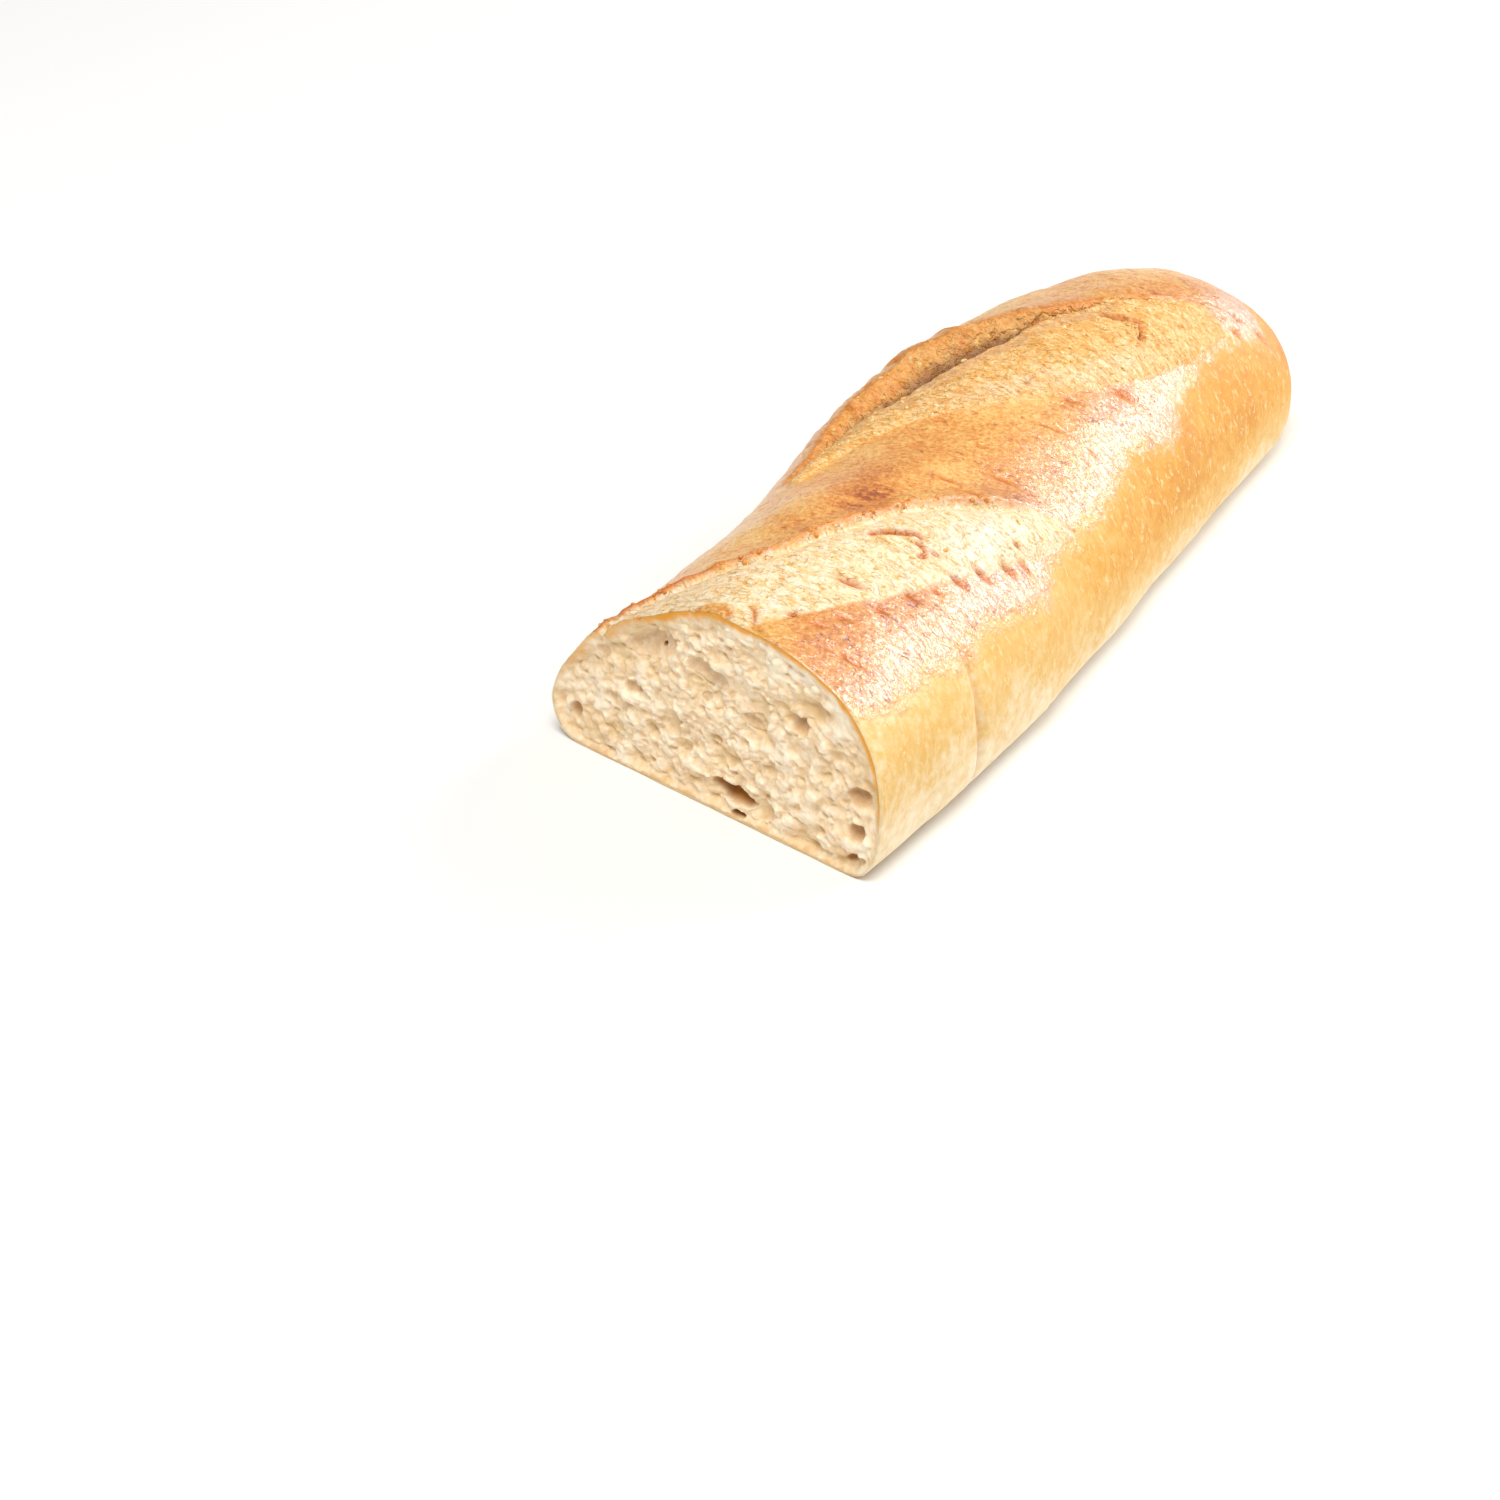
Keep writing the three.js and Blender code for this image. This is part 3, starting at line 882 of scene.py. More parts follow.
@dataclass
class Crust:
    """The baked outside of the loaf, with its scores, and a shallow socket for the crumb."""

    body: LoafBody = field(default_factory=LoafBody)
    near: NearScore = field(default_factory=NearScore)
    far: FarScore = field(default_factory=FarScore)
    look: Browning = field(default_factory=Browning)
    body_steps: int = 238
    end_steps: int = 94
    fine_steps: int = 420
    corner_steps: int = 8
    sole_steps: int = 16
    band_steps: tuple[int, ...] = (50, 28, 12, 40, 24, 4, 46, 50)
    least_band: float = 0.9
    rim: float = 0.25
    socket_depth: float = 12.0
    socket_taper: float = 0.85
    crease_x: float = 31.0
    crease_depth: float = 1.1
    crease_width: float = 1.4
    crease_wander: Wander = Wander(1.2, 9.0, 71)
    swell_height: float = 0.35
    swell_lengths: tuple[float, float] = (41.0, 27.0)
    pebbles_sunk: float = 0.1
    slow_pebbles: Grain = Grain(0.22, 9.0, 3, 2)
    fine_pebbles: Grain = Grain(0.1, 2.2, 7, 2)
    torn_flakes: Grain = Grain(0.18, (1.5, 3.6, 3.6), 11, 3)
    torn_folds: Grain = Grain(0.16, (2.0, 5.0, 5.0), 12, 2, 2)
    bark: Grain = Grain(1.0, (2.6, 5.5, 5.5), 13, 3, 2.6)
    bark_height: float = 0.4
    bark_growth: float = 0.3
    wall_fibres: Grain = Grain(0.7, (2.6, 6.0, 6.0), 17, 2, 2.4)
    wall_lumps: Grain = Grain(1.0, (2.8, 2.2, 2.2), 19, 2)
    wrinkle_height: float = 0.22
    wrinkles: Grain = Grain(1.0, (1.8, 4.0, 4.0), 23, 3)
    rind_spot: Spot = Spot(0.6, -1.5, 3.2, 5.6)
    rind_above: float = 30.0
    rind_raise: float = 0.4
    rind_folds: Grain = Grain(0.7, (3.6, 1.2, 1.2), 29, 2, 2)
    top_above: float = 20.0
    pit_share: float = 1.4
    crack_share: float = 1.35
    crack_lip: float = 0.35
    crack_lip_gap: float = 0.9
    crease_shade: float = 0.4
    crease_shade_width: float = 0.6
    flake_shares: tuple[float, float, float] = (0.06, 0.35, 0.08)
    pit_brown_and_shade: float = 1.15
    crack_brown_and_shade: float = 1.7
    cut_chip: float = 0.1
    cut_chips: Grain = Grain(0.12, 1.6, 107, 2)
    cut_chip_rings: tuple[float, ...] = (1.0, 0.6, 0.2)
    left_edge_z: float = 24.0
    left_edge_wander: Wander = Wander(3.0, 16.0, 73)
    nose_edge_x: float = 214.0
    skin_edge: tuple[tuple[float, float], ...] = (
        (-12, 40), (4, 35.4), (17, 35.4), (35, 32.4), (39, 35), (62, 30), (68, 29.2), (78, 33.3), (96, 33.2),
        (111, 34.2), (129, 36), (140, 31.6), (152, 36.4), (172, 39), (179, 38.6), (192, 36), (206, 32),
        (216, 44),
    )
    pits: tuple[Spot, ...] = (
        Spot(8.0, -16.0, 1.4, 0.9, 0.8, -60),
        Spot(8.0, -22.0, 1.5, 0.8, 0.6, -75),
        Spot(13.3, -24.4, 1.4, 0.9, 0.8, -65),
        Spot(22.2, -28.6, 1.5, 1.0, 0.8, -70),
        Spot(32.0, -31.0, 1.9, 1.1, 1.0, -75),
        Spot(38.0, -33.4, 1.2, 0.7, 0.6, -80),
        Spot(45.6, -34.6, 2.0, 0.8, 1.0, -80),
        Spot(53.4, -36.4, 2.0, 1.0, 0.9, -75),
        Spot(61.8, -38.8, 1.9, 0.9, 0.8, -80),
        Spot(67.2, -40.2, 1.8, 0.8, 0.6, -80),
        Spot(24.3, -20.5, 2.9, 0.9, 1.0, -80),
        Spot(4.2, -31.8, 2.4, 0.6, 0.9, -85),
        Spot(3.0, -27.0, 2.2, 0.5, 0.5, -80),
        Spot(47.2, -28.2, 1.2, 0.5, 0.7, -75),
        Spot(69.2, -36.6, 1.2, 0.5, 0.6, -75),
        Spot(95.0, -15.4, 1.0, 0.8, 0.9, -60),
        Spot(124.3, -21.8, 2.0, 0.8, 0.9, -70),
        Spot(137.5, -28.6, 3.0, 1.2, 0.7, -60),
        Spot(118.5, 25.4, 1.6, 1.2, 1.0, 20),
        Spot(129.5, 24.0, 1.6, 1.0, 1.0, 40),
        Spot(142.1, 16.1, 2.2, 1.0, 0.9, 60),
        Spot(106.0, 28.5, 1.4, 1.0, 0.8, 20),
        Spot(77.0, -15.5, 2.6, 0.9, 0.4, -80),
        Spot(75.2, -21.4, 3.2, 0.9, 0.5, -80),
        Spot(87.0, -24.5, 3.2, 0.8, 0.4, -80),
        Spot(112.0, -22.8, 5.2, 0.35, 0.35, -75),
        Spot(114.4, -32.6, 2.2, 0.35, 0.3, -85),
        Spot(193.0, -33.0, 1.6, 0.9, 0.8, -30),
        Spot(199.0, -30.0, 1.4, 0.9, 0.8, 20),
        Spot(203.5, -35.0, 1.5, 0.9, 0.8, -60),
    )
    cracks: tuple[Crack, ...] = (
        Crack(((43.0, -15.0), (46.1, -17.9), (48.8, -21.8), (49.0, -24.0)), 0.65, 1.3),
        Crack(((47.0, -23.6), (46.6, -25.8), (44.6, -27.0), (43.6, -26.4)), 0.5, 1.0),
        Crack(((158.0, -12.8), (160.2, -16.6), (161.8, -20.3), (159.4, -22.2), (156.7, -23.4)), 0.5, 1.7),
        Crack(((88.5, -38.6), (91.0, -40.4)), 0.35, 0.25),
        Crack(((5.0, -8.5), (1.5, -10.5), (-1.0, -12.5), (-2.6, -15.5)), 0.45, 0.6),
    )

    def uneven(self, p: Array, fine: bool) -> Array:
        """The loaf's own unevenness: slow swells, then the fine pebbling of a baked skin.

        Args:
            p: points on the plain body.
            fine: whether the pebbling is added.

        Returns:
            The height in millimetres.
        """
        x, y = p[..., 0], p[..., 1]
        long, wide = self.swell_lengths
        onward, over = x / long * 2 * math.pi + y / wide, y / wide * 2 * math.pi - x / long
        slow = self.swell_height * np.sin(onward) * np.cos(over)
        if not fine:
            return slow
        return slow - self.pebbles_sunk + self.slow_pebbles.at(p) + self.fine_pebbles.at(p)

    def rind(self, p: Array) -> Array:
        """Where a ridged, browner patch of rind lies at the top of the cut."""
        return self.rind_spot.strength(p[..., 0], p[..., 1]) * (p[..., 2] > self.rind_above)

    def skin_inside(self, p: Array) -> Array:
        """Signed distance into the glazed brown skin, from its lower edge on the flanks.

        Args:
            p: points on the plain body.

        Returns:
            Millimetres, more than 0 inside.
        """
        x, y, z = p[..., 0], p[..., 1], p[..., 2]
        edge_x, edge_z = zip(*self.skin_edge)
        right = z - along(edge_x, edge_z, x)
        left = z - self.left_edge_z - self.left_edge_wander.at(x)
        return np.minimum(np.where(y < 0, right, left), self.nose_edge_x - x)

    def crease(self, p: Array, width: float) -> Array:
        """1 along the upright crease of the right flank, falling to 0 to its sides.

        Args:
            p: points on the plain body.
            width: its half width.

        Returns:
            From 0 to 1.
        """
        x, y, z = p[..., 0], p[..., 1], p[..., 2]
        side = ease(2, 10, z) * (1 - ease(30, 36, z)) * (y < 0)
        return side * bell(x - self.crease_x - self.crease_wander.at(z), width)

    def relief(self, p: Array, fine: bool = True) -> Array:
        """Height of everything on the crust over the plain body.

        Args:
            p: points on the plain body.
            fine: whether the small grain of the surfaces is added to the main forms.

        Returns:
            The height along the outward direction.
        """
        x, y, z = p[..., 0], p[..., 1], p[..., 2]
        near, far = self.near.place(x, y), self.far.place(x, y)
        height = self.near.relief(near) + self.far.relief(far)
        if fine:
            height = self.with_grain(p, near, far, height)
        crease = -self.crease_depth * self.crease(p, self.crease_width)
        return ease(6, 20, z) * height + crease + ease(0.3, 5.0, z) * self.uneven(p, fine)

    def with_grain(self, p: Array, near: ScorePlace, far: ScorePlace, height: Array) -> Array:
        """Adds the small grain of each kind of surface, the pits and the cracks.

        Args:
            p: points on the plain body.
            near: where they lie from the near score's tip.
            far: where they lie from the far score's tip.
            height: the height of the main forms.

        Returns:
            The height with all of it.
        """
        x, y, z = p[..., 0], p[..., 1], p[..., 2]
        torn = ease(-0.8, 1.0, self.near.inside(near))
        ridge = ease(-0.8, 1.0, self.far.inside(far))
        wall = ease(-0.5, 1.2, self.far.wall(far))
        height = height + torn * (self.torn_flakes.at(p) + self.torn_folds.at(p))
        bark_height = self.bark_height + self.bark_growth * ease(150, 172, x)
        height = height + ridge * bark_height * self.bark.at(p)
        height = height + wall * (self.wall_fibres.at(p) + self.wall_lumps.at(p))
        skin = ease(-2, 2, self.skin_inside(p)) * (1 - torn) * (1 - ridge) * (1 - wall)
        height = height + skin * self.wrinkle_height * self.wrinkles.at(p)
        height = height + self.rind(p) * (self.rind_raise + self.rind_folds.at(p))
        on_top = z > self.top_above
        for pit in self.pits:
            height = height - self.pit_share * pit.depth * pit.strength(x, y) * on_top
        gap = self.crack_lip_gap
        for crack in self.cracks:
            height = height + self.crack_lip * crack.depth * crack.strength(x - gap, y - gap) * on_top
            height = height - self.crack_share * crack.depth * crack.strength(x, y) * on_top
        return height

    def followed(self) -> list[tuple[Score, Callable[[Array], Array]]]:
        """The edges that rows of points follow, from the loaf's left to its right.

        Returns:
            Each score with the place of one of its edges.
        """
        keys = [(self.far, key) for key in ("lip", "bottom", "ridge", "low")]
        keys += [(self.near, key) for key in ("high", "groove", "low")]
        return [(score, lambda s, score=score, key=key: score.edges(s)[key]) for score, key in keys]

    def stops(self, tops: Array, lengths: Array) -> Array:
        """Where each ring's bands of points end.

        Args:
            tops: the tops of the rings on the plain body.
            lengths: the length along each top with its relief.

        Returns:
            For each ring the length at its start, at each followed edge and at its end.
        """
        rings = len(tops)
        total = lengths[:, -1]
        result = np.zeros((rings, len(self.band_steps) + 1))
        result[:, -1] = total
        for k, (score, edge) in enumerate(self.followed(), start=1):
            place = score.place(tops[..., 0], tops[..., 1])
            gap = place.across - edge(place.distance)
            crossing = (gap[:, :-1] >= 0) & (gap[:, 1:] < 0) & (place.distance[:, 1:] >= 0)
            share = k / len(self.band_steps)
            for i in range(rings):
                found = np.flatnonzero(crossing[i])
                if len(found):
                    m = found[0]
                    t = gap[i, m] / (gap[i, m] - gap[i, m + 1])
                    share = (lengths[i, m] + (lengths[i, m + 1] - lengths[i, m]) * t) / total[i]
                result[i, k] = share * total[i]
        room = np.minimum(self.least_band, total / (3 * result.shape[1]))
        for k in range(result.shape[1] - 2, 0, -1):
            result[:, k] = np.minimum(result[:, k], result[:, k + 1] - room)
        return result

    def grid(self) -> Array:
        """The rings of points on the plain body, spaced evenly over the relief.

        Returns:
            An array of rings, each along the sole to the left, up the left side and over the top.
        """
        x, t = self.body.ring_places(self.body_steps, self.end_steps)
        tops = self.body.tops(x, t, self.fine_steps)
        onward, over = np.gradient(tops, axis=0), np.gradient(tops, axis=1)
        out = -np.cross(onward, over)
        out /= np.maximum(np.linalg.norm(out, axis=-1, keepdims=True), 1e-9)
        raised = tops + out * self.relief(tops, fine=False)[..., None]
        lengths = lengths_of(raised)
        stops = self.stops(tops, lengths)
        rings = []
        for i in range(len(x)):
            wanted = [stops[i, :1]]
            for band, steps in enumerate(self.band_steps):
                wanted.append(np.linspace(stops[i, band], stops[i, band + 1], steps + 1)[1:])
            upper = points_at(tops[i], lengths[i], np.concatenate(wanted))
            left = self.body.corner(x[i], t[i], 1, self.corner_steps)
            right = self.body.corner(x[i], t[i], -1, self.corner_steps)
            shares = np.linspace(0, 1, self.sole_steps + 1)[1:-1, None]
            sole = right[0] + (left[0] - right[0]) * shares
            rings.append(np.concatenate([sole, left[:-1], upper, right[:-1][::-1]]))
        return np.array(rings)

    def surface(self) -> tuple[Array, Array]:
        """The rings on the plain body and the same rings with all relief.

        Returns:
            Two arrays of rings.
        """
        plain = self.grid()
        out = outward_of(plain)
        skew = self.body.cut_skew
        out[0, :, 0] = skew * out[0, :, 1]
        out[0] /= np.linalg.norm(out[0], axis=-1, keepdims=True)
        raised = plain + out * self.relief(plain)[..., None]
        place = self.far.place(plain[..., 0], plain[..., 1])
        lean = self.far.overhang(place) * ease(20, 30, plain[..., 2])
        way = np.subtract(self.far.back, self.far.tip)
        way = way / np.linalg.norm(way)
        raised[..., 0] -= lean * way[1]
        raised[..., 1] += lean * way[0]
        chipped = len(self.cut_chip_rings)
        chips = self.cut_chip + self.cut_chips.at(plain[:chipped])
        raised[:chipped, :, 0] += chips * np.array(self.cut_chip_rings)[:, None]
        low, high = self.body.box
        return plain, np.clip(raised, np.array(low), np.array(high))

    def values(self, p: Array) -> dict[str, Array]:
        """The numbers that steer the crust's colours, for points on the plain body.

        Args:
            p: points on the plain body.

        Returns:
            Named numbers, one for each point: signed distances in millimetres and shares.
        """
        x, y, z = p[..., 0], p[..., 1], p[..., 2]
        near, far = self.near.place(x, y), self.far.place(x, y)
        near_edges, far_edges = self.near.edges(near.distance), self.far.edges(far.distance)
        presence = self.far.presence(far.distance)
        above = ease(20, 28, z)
        skin = self.skin_inside(p)
        near_lip = bell(near.across - near_edges["high"] - 0.1, 0.5) * ease(4, 24, near.distance)
        far_lip = 0.5 * bell(far.across - far_edges["lip"] - 0.1, 0.8) * presence
        line = np.maximum(near_lip * (0.35 + 0.65 * ease(66, 90, near.distance)), far_lip)
        # The pits and cracks take the brown line as browning with painted shade, and the crease takes it as
        # painted shade alone.
        line = self.marks(line, x, y) * above + self.crease_shade * self.crease(p, self.crease_shade_width)
        lip_gap = bell(far.across - far_edges["lip"] - 2.5, 4.0) * presence
        opening = far_edges["lip"] - far_edges["ridge"]
        look = self.look
        return {
            "skin_mm": np.clip(skin, -5, 5),
            "torn_mm": np.clip(self.near.inside(near), -5, 5) - 10 * (1 - above),
            "ridge_mm": np.clip(self.far.inside(far), -5, 5) - 10 * (1 - above),
            "wall_mm": np.clip(self.far.wall(far), -5, 5) - 10 * (1 - above),
            "bake": np.clip(look.bake(p, lip_gap, skin), 0, 1),
            "rind": np.clip(ease(0.4, 0.62, self.rind(p) + look.rind_grain.at(p)) * above, 0, 1),
            "flank": np.clip(look.flank(p), 0, 1),
            "line": np.clip(line, 0, 1),
            "flour": np.clip(look.flour(p) * above, 0, 1),
            "glaze_and_highlight": np.clip(look.glaze_and_highlight(p, far, far_edges) * above, 0, 1),
            "shine": 0.45 + 0.55 * ease(-10, -28, y),
            "strip": np.clip(look.strip(far, far_edges, presence) * above, 0, 1),
            # Painted shade, darker the deeper the far score's crevice.
            "deep": ease(0.0, 3.6, -self.far.relief(far)) * ease(-0.5, 0.8, self.far.wall(far)) * above,
            "wall_share": np.clip((far.across - far_edges["ridge"]) / opening, 0, 1),
            "beads": near_lip * ease(14, 30, near.distance) * above,
            "flakes": np.clip(self.flaking(near, far) * above, 0, 1),
        }

    def marks(self, line: Array, x: Array, y: Array) -> Array:
        """The brown line along the lips, with the pits and cracks browned and darkened by painted shade too.

        Args:
            line: the lips' line.
            x: places along the loaf.
            y: places across the loaf.

        Returns:
            From 0 to about 1.
        """
        for pit in self.pits:
            line = np.maximum(line, self.pit_brown_and_shade * pit.strength(x, y))
        for crack in self.cracks:
            line = np.maximum(line, self.crack_brown_and_shade * crack.strength(x, y) * min(1.0, crack.depth))
        return line

    def flaking(self, near: ScorePlace, far: ScorePlace) -> Array:
        """How thickly loose flakes lie: most on the ridge of the far score, few on the near score.

        Args:
            near: where the points lie from the near score's tip.
            far: where the points lie from the far score's tip.

        Returns:
            From 0 to about 0.5.
        """
        ridge = ease(0.0, 1.5, self.far.inside(far)) * ease(8, 26, far.distance)
        wall = ease(0.0, 1.0, self.far.wall(far))
        on_near, on_ridge, on_wall = self.flake_shares
        return on_near * ease(0.0, 1.5, self.near.inside(near)) + on_ridge * ridge + on_wall * wall

    def build(self) -> tuple[bpy.types.Object, Array]:
        """Builds the crust.

        Returns:
            The crust's object, and the cut's outline on the raised crust.
        """
        plain, raised = self.surface()
        rows, columns = plain.shape[:2]
        outline = raised[0]
        middle = np.array([0.0, 0.0, self.body.crest_height[0] / 2])
        inward = middle - outline
        inward /= np.linalg.norm(inward, axis=-1, keepdims=True)
        inner = outline + inward * self.rim
        deep = inner * np.array([1.0, self.socket_taper, 1.0]) + np.array([self.socket_depth, 0, 0])
        floor_middle = middle + np.array([self.socket_depth, 0, 0])
        nose = np.array(self.body.nose)
        points = np.concatenate([raised.reshape(-1, 3), inner, deep, floor_middle[None], nose[None]])
        bases = np.concatenate([plain.reshape(-1, 3), inner, deep, floor_middle[None], nose[None]])
        faces = [grid_faces(rows, columns, True)]
        count = rows * columns
        j = np.arange(columns)
        after = (j + 1) % columns
        none = np.full(columns, -1)
        faces.append(np.stack([after, j, count + j, count + after], axis=-1))
        floor = count + columns
        faces.append(np.stack([count + after, count + j, floor + j, floor + after], axis=-1))
        centre = np.full(columns, floor + columns)
        faces.append(np.stack([floor + after, floor + j, centre, none], axis=-1))
        last = (rows - 1) * columns
        tip = np.full(columns, floor + columns + 1)
        faces.append(np.stack([last + j, last + after, tip, none], axis=-1))
        values = self.values(bases)
        # The sawn edge and the socket behind it are paler than the baked outside.
        for key, share in (("bake", 0.45), ("flank", 0.3)):
            values[key][:columns] *= 0.5 + 0.5 * share
            values[key][count : floor + columns + 1] *= share
        piece = MeshMaker.make("baked_crust", points, np.concatenate(faces), values)
        return piece, outline


# Finishes


def linear(hex_colour: str) -> tuple[float, float, float, float]:
    """An sRGB hex colour in linear light.

    Args:
        hex_colour: a hash and six digits.

    Returns:
        Red, green, blue and full alpha.
    """
    parts = [int(hex_colour[k : k + 2], 16) / 255 for k in (1, 3, 5)]
    rgb = [v / 12.92 if v <= 0.04045 else ((v + 0.055) / 1.055) ** 2.4 for v in parts]
    return (*rgb, 1.0)


def add_node(tree: bpy.types.NodeTree, kind: str, settings: dict[str, Any], inputs: dict[Any, Any]) -> Any:
    """Adds a node to a tree with its settings and what its inputs hold.

    Args:
        tree: the tree.
        kind: the node's type.
        settings: its attributes.
        inputs: for each input, by name or number, a value or the socket that feeds it.

    Returns:
        The new node.
    """
    node = tree.nodes.new(kind)
    for key, value in settings.items():
        setattr(node, key, value)
    for key, value in inputs.items():
        if isinstance(value, bpy.types.NodeSocket):
            tree.links.new(value, node.inputs[key])
        else:
            node.inputs[key].default_value = value
    return node


Stops = tuple[tuple[float, str], ...]


class Recipe:
    """A material's node tree with short ways to add its usual nodes."""

    def __init__(self, name: str) -> None:
        """Starts an empty material.

        Args:
            name: the material's name.
        """
        self.made = bpy.data.materials.new(name)
        self.made.use_nodes = True
        self.tree = self.made.node_tree
        self.tree.nodes.clear()
        self.place = add_node(self.tree, "ShaderNodeTexCoord", {}, {}).outputs["Object"]

    def value(self, name: str) -> Any:
        """A number stored on the mesh."""
        return add_node(self.tree, "ShaderNodeAttribute", {"attribute_name": name}, {}).outputs["Fac"]

    def maths(self, operation: str, a: Any, b: Any = 0.0, clamp: bool = False) -> Any:
        """One sum of two numbers or sockets."""
        settings = {"operation": operation, "use_clamp": clamp}
        return add_node(self.tree, "ShaderNodeMath", settings, {0: a, 1: b}).outputs[0]

    def vectors(self, operation: str, inputs: dict[Any, Any]) -> Any:
        """One sum of vectors."""
        return add_node(self.tree, "ShaderNodeVectorMath", {"operation": operation}, inputs).outputs[0]

    def stretched(self, scale: tuple[float, float, float]) -> Any:
        """Object coordinates scaled by axis, for grain that runs round the loaf."""
        node = add_node(self.tree, "ShaderNodeMapping", {}, {"Vector": self.place, "Scale": scale})
        return node.outputs["Vector"]

    def grain(
        self, size_mm: float, detail: float, where: Any = None, warp: float = 0.0, key: str = "Fac"
    ) -> Any:
        """A noise field with features of a real size.

        Args:
            size_mm: the size of its largest features.
            detail: how many finer layers it has.
            where: coordinates other than the object's own.
            warp: how far it is bent by itself.
            key: the noise node's output.

        Returns:
            The field's socket.
        """
        inputs = {
            "Vector": self.place if where is None else where,
            "Scale": 1 / (size_mm * METRES),
            "Detail": detail,
            "Roughness": 0.58,
            "Distortion": warp,
        }
        return add_node(self.tree, "ShaderNodeTexNoise", {}, inputs).outputs[key]

    def cells(self, size_mm: float, where: Any = None) -> Any:
        """Distance to the borders of cells of a real size.

        Args:
            size_mm: the size of a cell.
            where: coordinates other than the object's own.

        Returns:
            The distance's socket.
        """
        inputs = {"Vector": self.place if where is None else where, "Scale": 1 / (size_mm * METRES)}
        node = add_node(self.tree, "ShaderNodeTexVoronoi", {"feature": "DISTANCE_TO_EDGE"}, inputs)
        return node.outputs["Distance"]

    def step(self, value: Any, low: float, high: float, start: float = 0.0, end: float = 1.0) -> Any:
        """A smooth step of a value between two limits.

        Args:
            value: the number's socket.
            low: where it starts.
            high: where it ends.
            start: what it gives below.
            end: what it gives above.

        Returns:
            The step's socket.
        """
        inputs = {"Value": value, "From Min": low, "From Max": high, "To Min": start, "To Max": end}
        node = add_node(self.tree, "ShaderNodeMapRange", {"interpolation_type": "SMOOTHSTEP"}, inputs)
        return node.outputs["Result"]

    def ragged(self, distance: Any, grain: Any, swing_mm: float, soft_mm: float) -> Any:
        """A share from a signed distance whose edge wanders with a grain."""
        swing = self.maths("MULTIPLY", self.maths("SUBTRACT", grain, 0.5), 2 * swing_mm)
        return self.step(self.maths("ADD", distance, swing), -soft_mm, soft_mm)

    def ramp(self, value: Any, stops: Stops) -> Any:
        """A colour ramp from places and hex colours.

        Args:
            value: the number's socket.
            stops: its places and colours.

        Returns:
            The colour's socket.
        """
        node = add_node(self.tree, "ShaderNodeValToRGB", {}, {"Fac": value})
        while len(node.color_ramp.elements) < len(stops):
            node.color_ramp.elements.new(0.5)
        for element, (place, colour) in zip(node.color_ramp.elements, stops):
            element.position = place
            element.color = linear(colour)
        return node.outputs["Color"]

    def mixed(self, share: Any, a: Any, b: Any) -> Any:
        """Two colours mixed by a share.

        Args:
            share: how much of the second.
            a: the first, as a socket or hex.
            b: the second, as a socket or hex.

        Returns:
            The colour's socket.
        """
        ends = [linear(c) if isinstance(c, str) else c for c in (a, b)]
        node = add_node(self.tree, "ShaderNodeMix", {"data_type": "RGBA"}, {0: share, 6: ends[0], 7: ends[1]})
        return node.outputs[2]

    def raised(self, height: Any, depth_mm: float, strength: float, under: Any = None) -> Any:
        """A bump from a height field, over another one.

        Args:
            height: the height's socket.
            depth_mm: its depth.
            strength: how much of it shows.
            under: the bump below it.

        Returns:
            The normal's socket.
        """
        inputs = {"Strength": strength, "Distance": depth_mm * METRES, "Height": height}
        if under is not None:
            inputs["Normal"] = under
        return add_node(self.tree, "ShaderNodeBump", {}, inputs).outputs["Normal"]

    def finish(self, inputs: dict[str, Any]) -> bpy.types.Material:
        """Adds the shader and the output.

        Args:
            inputs: the shader's inputs.

        Returns:
            The finished material.
        """
        shader = add_node(self.tree, "ShaderNodeBsdfPrincipled", {}, inputs)
        add_node(self.tree, "ShaderNodeOutputMaterial", {}, {"Surface": shader.outputs["BSDF"]})
        return self.made


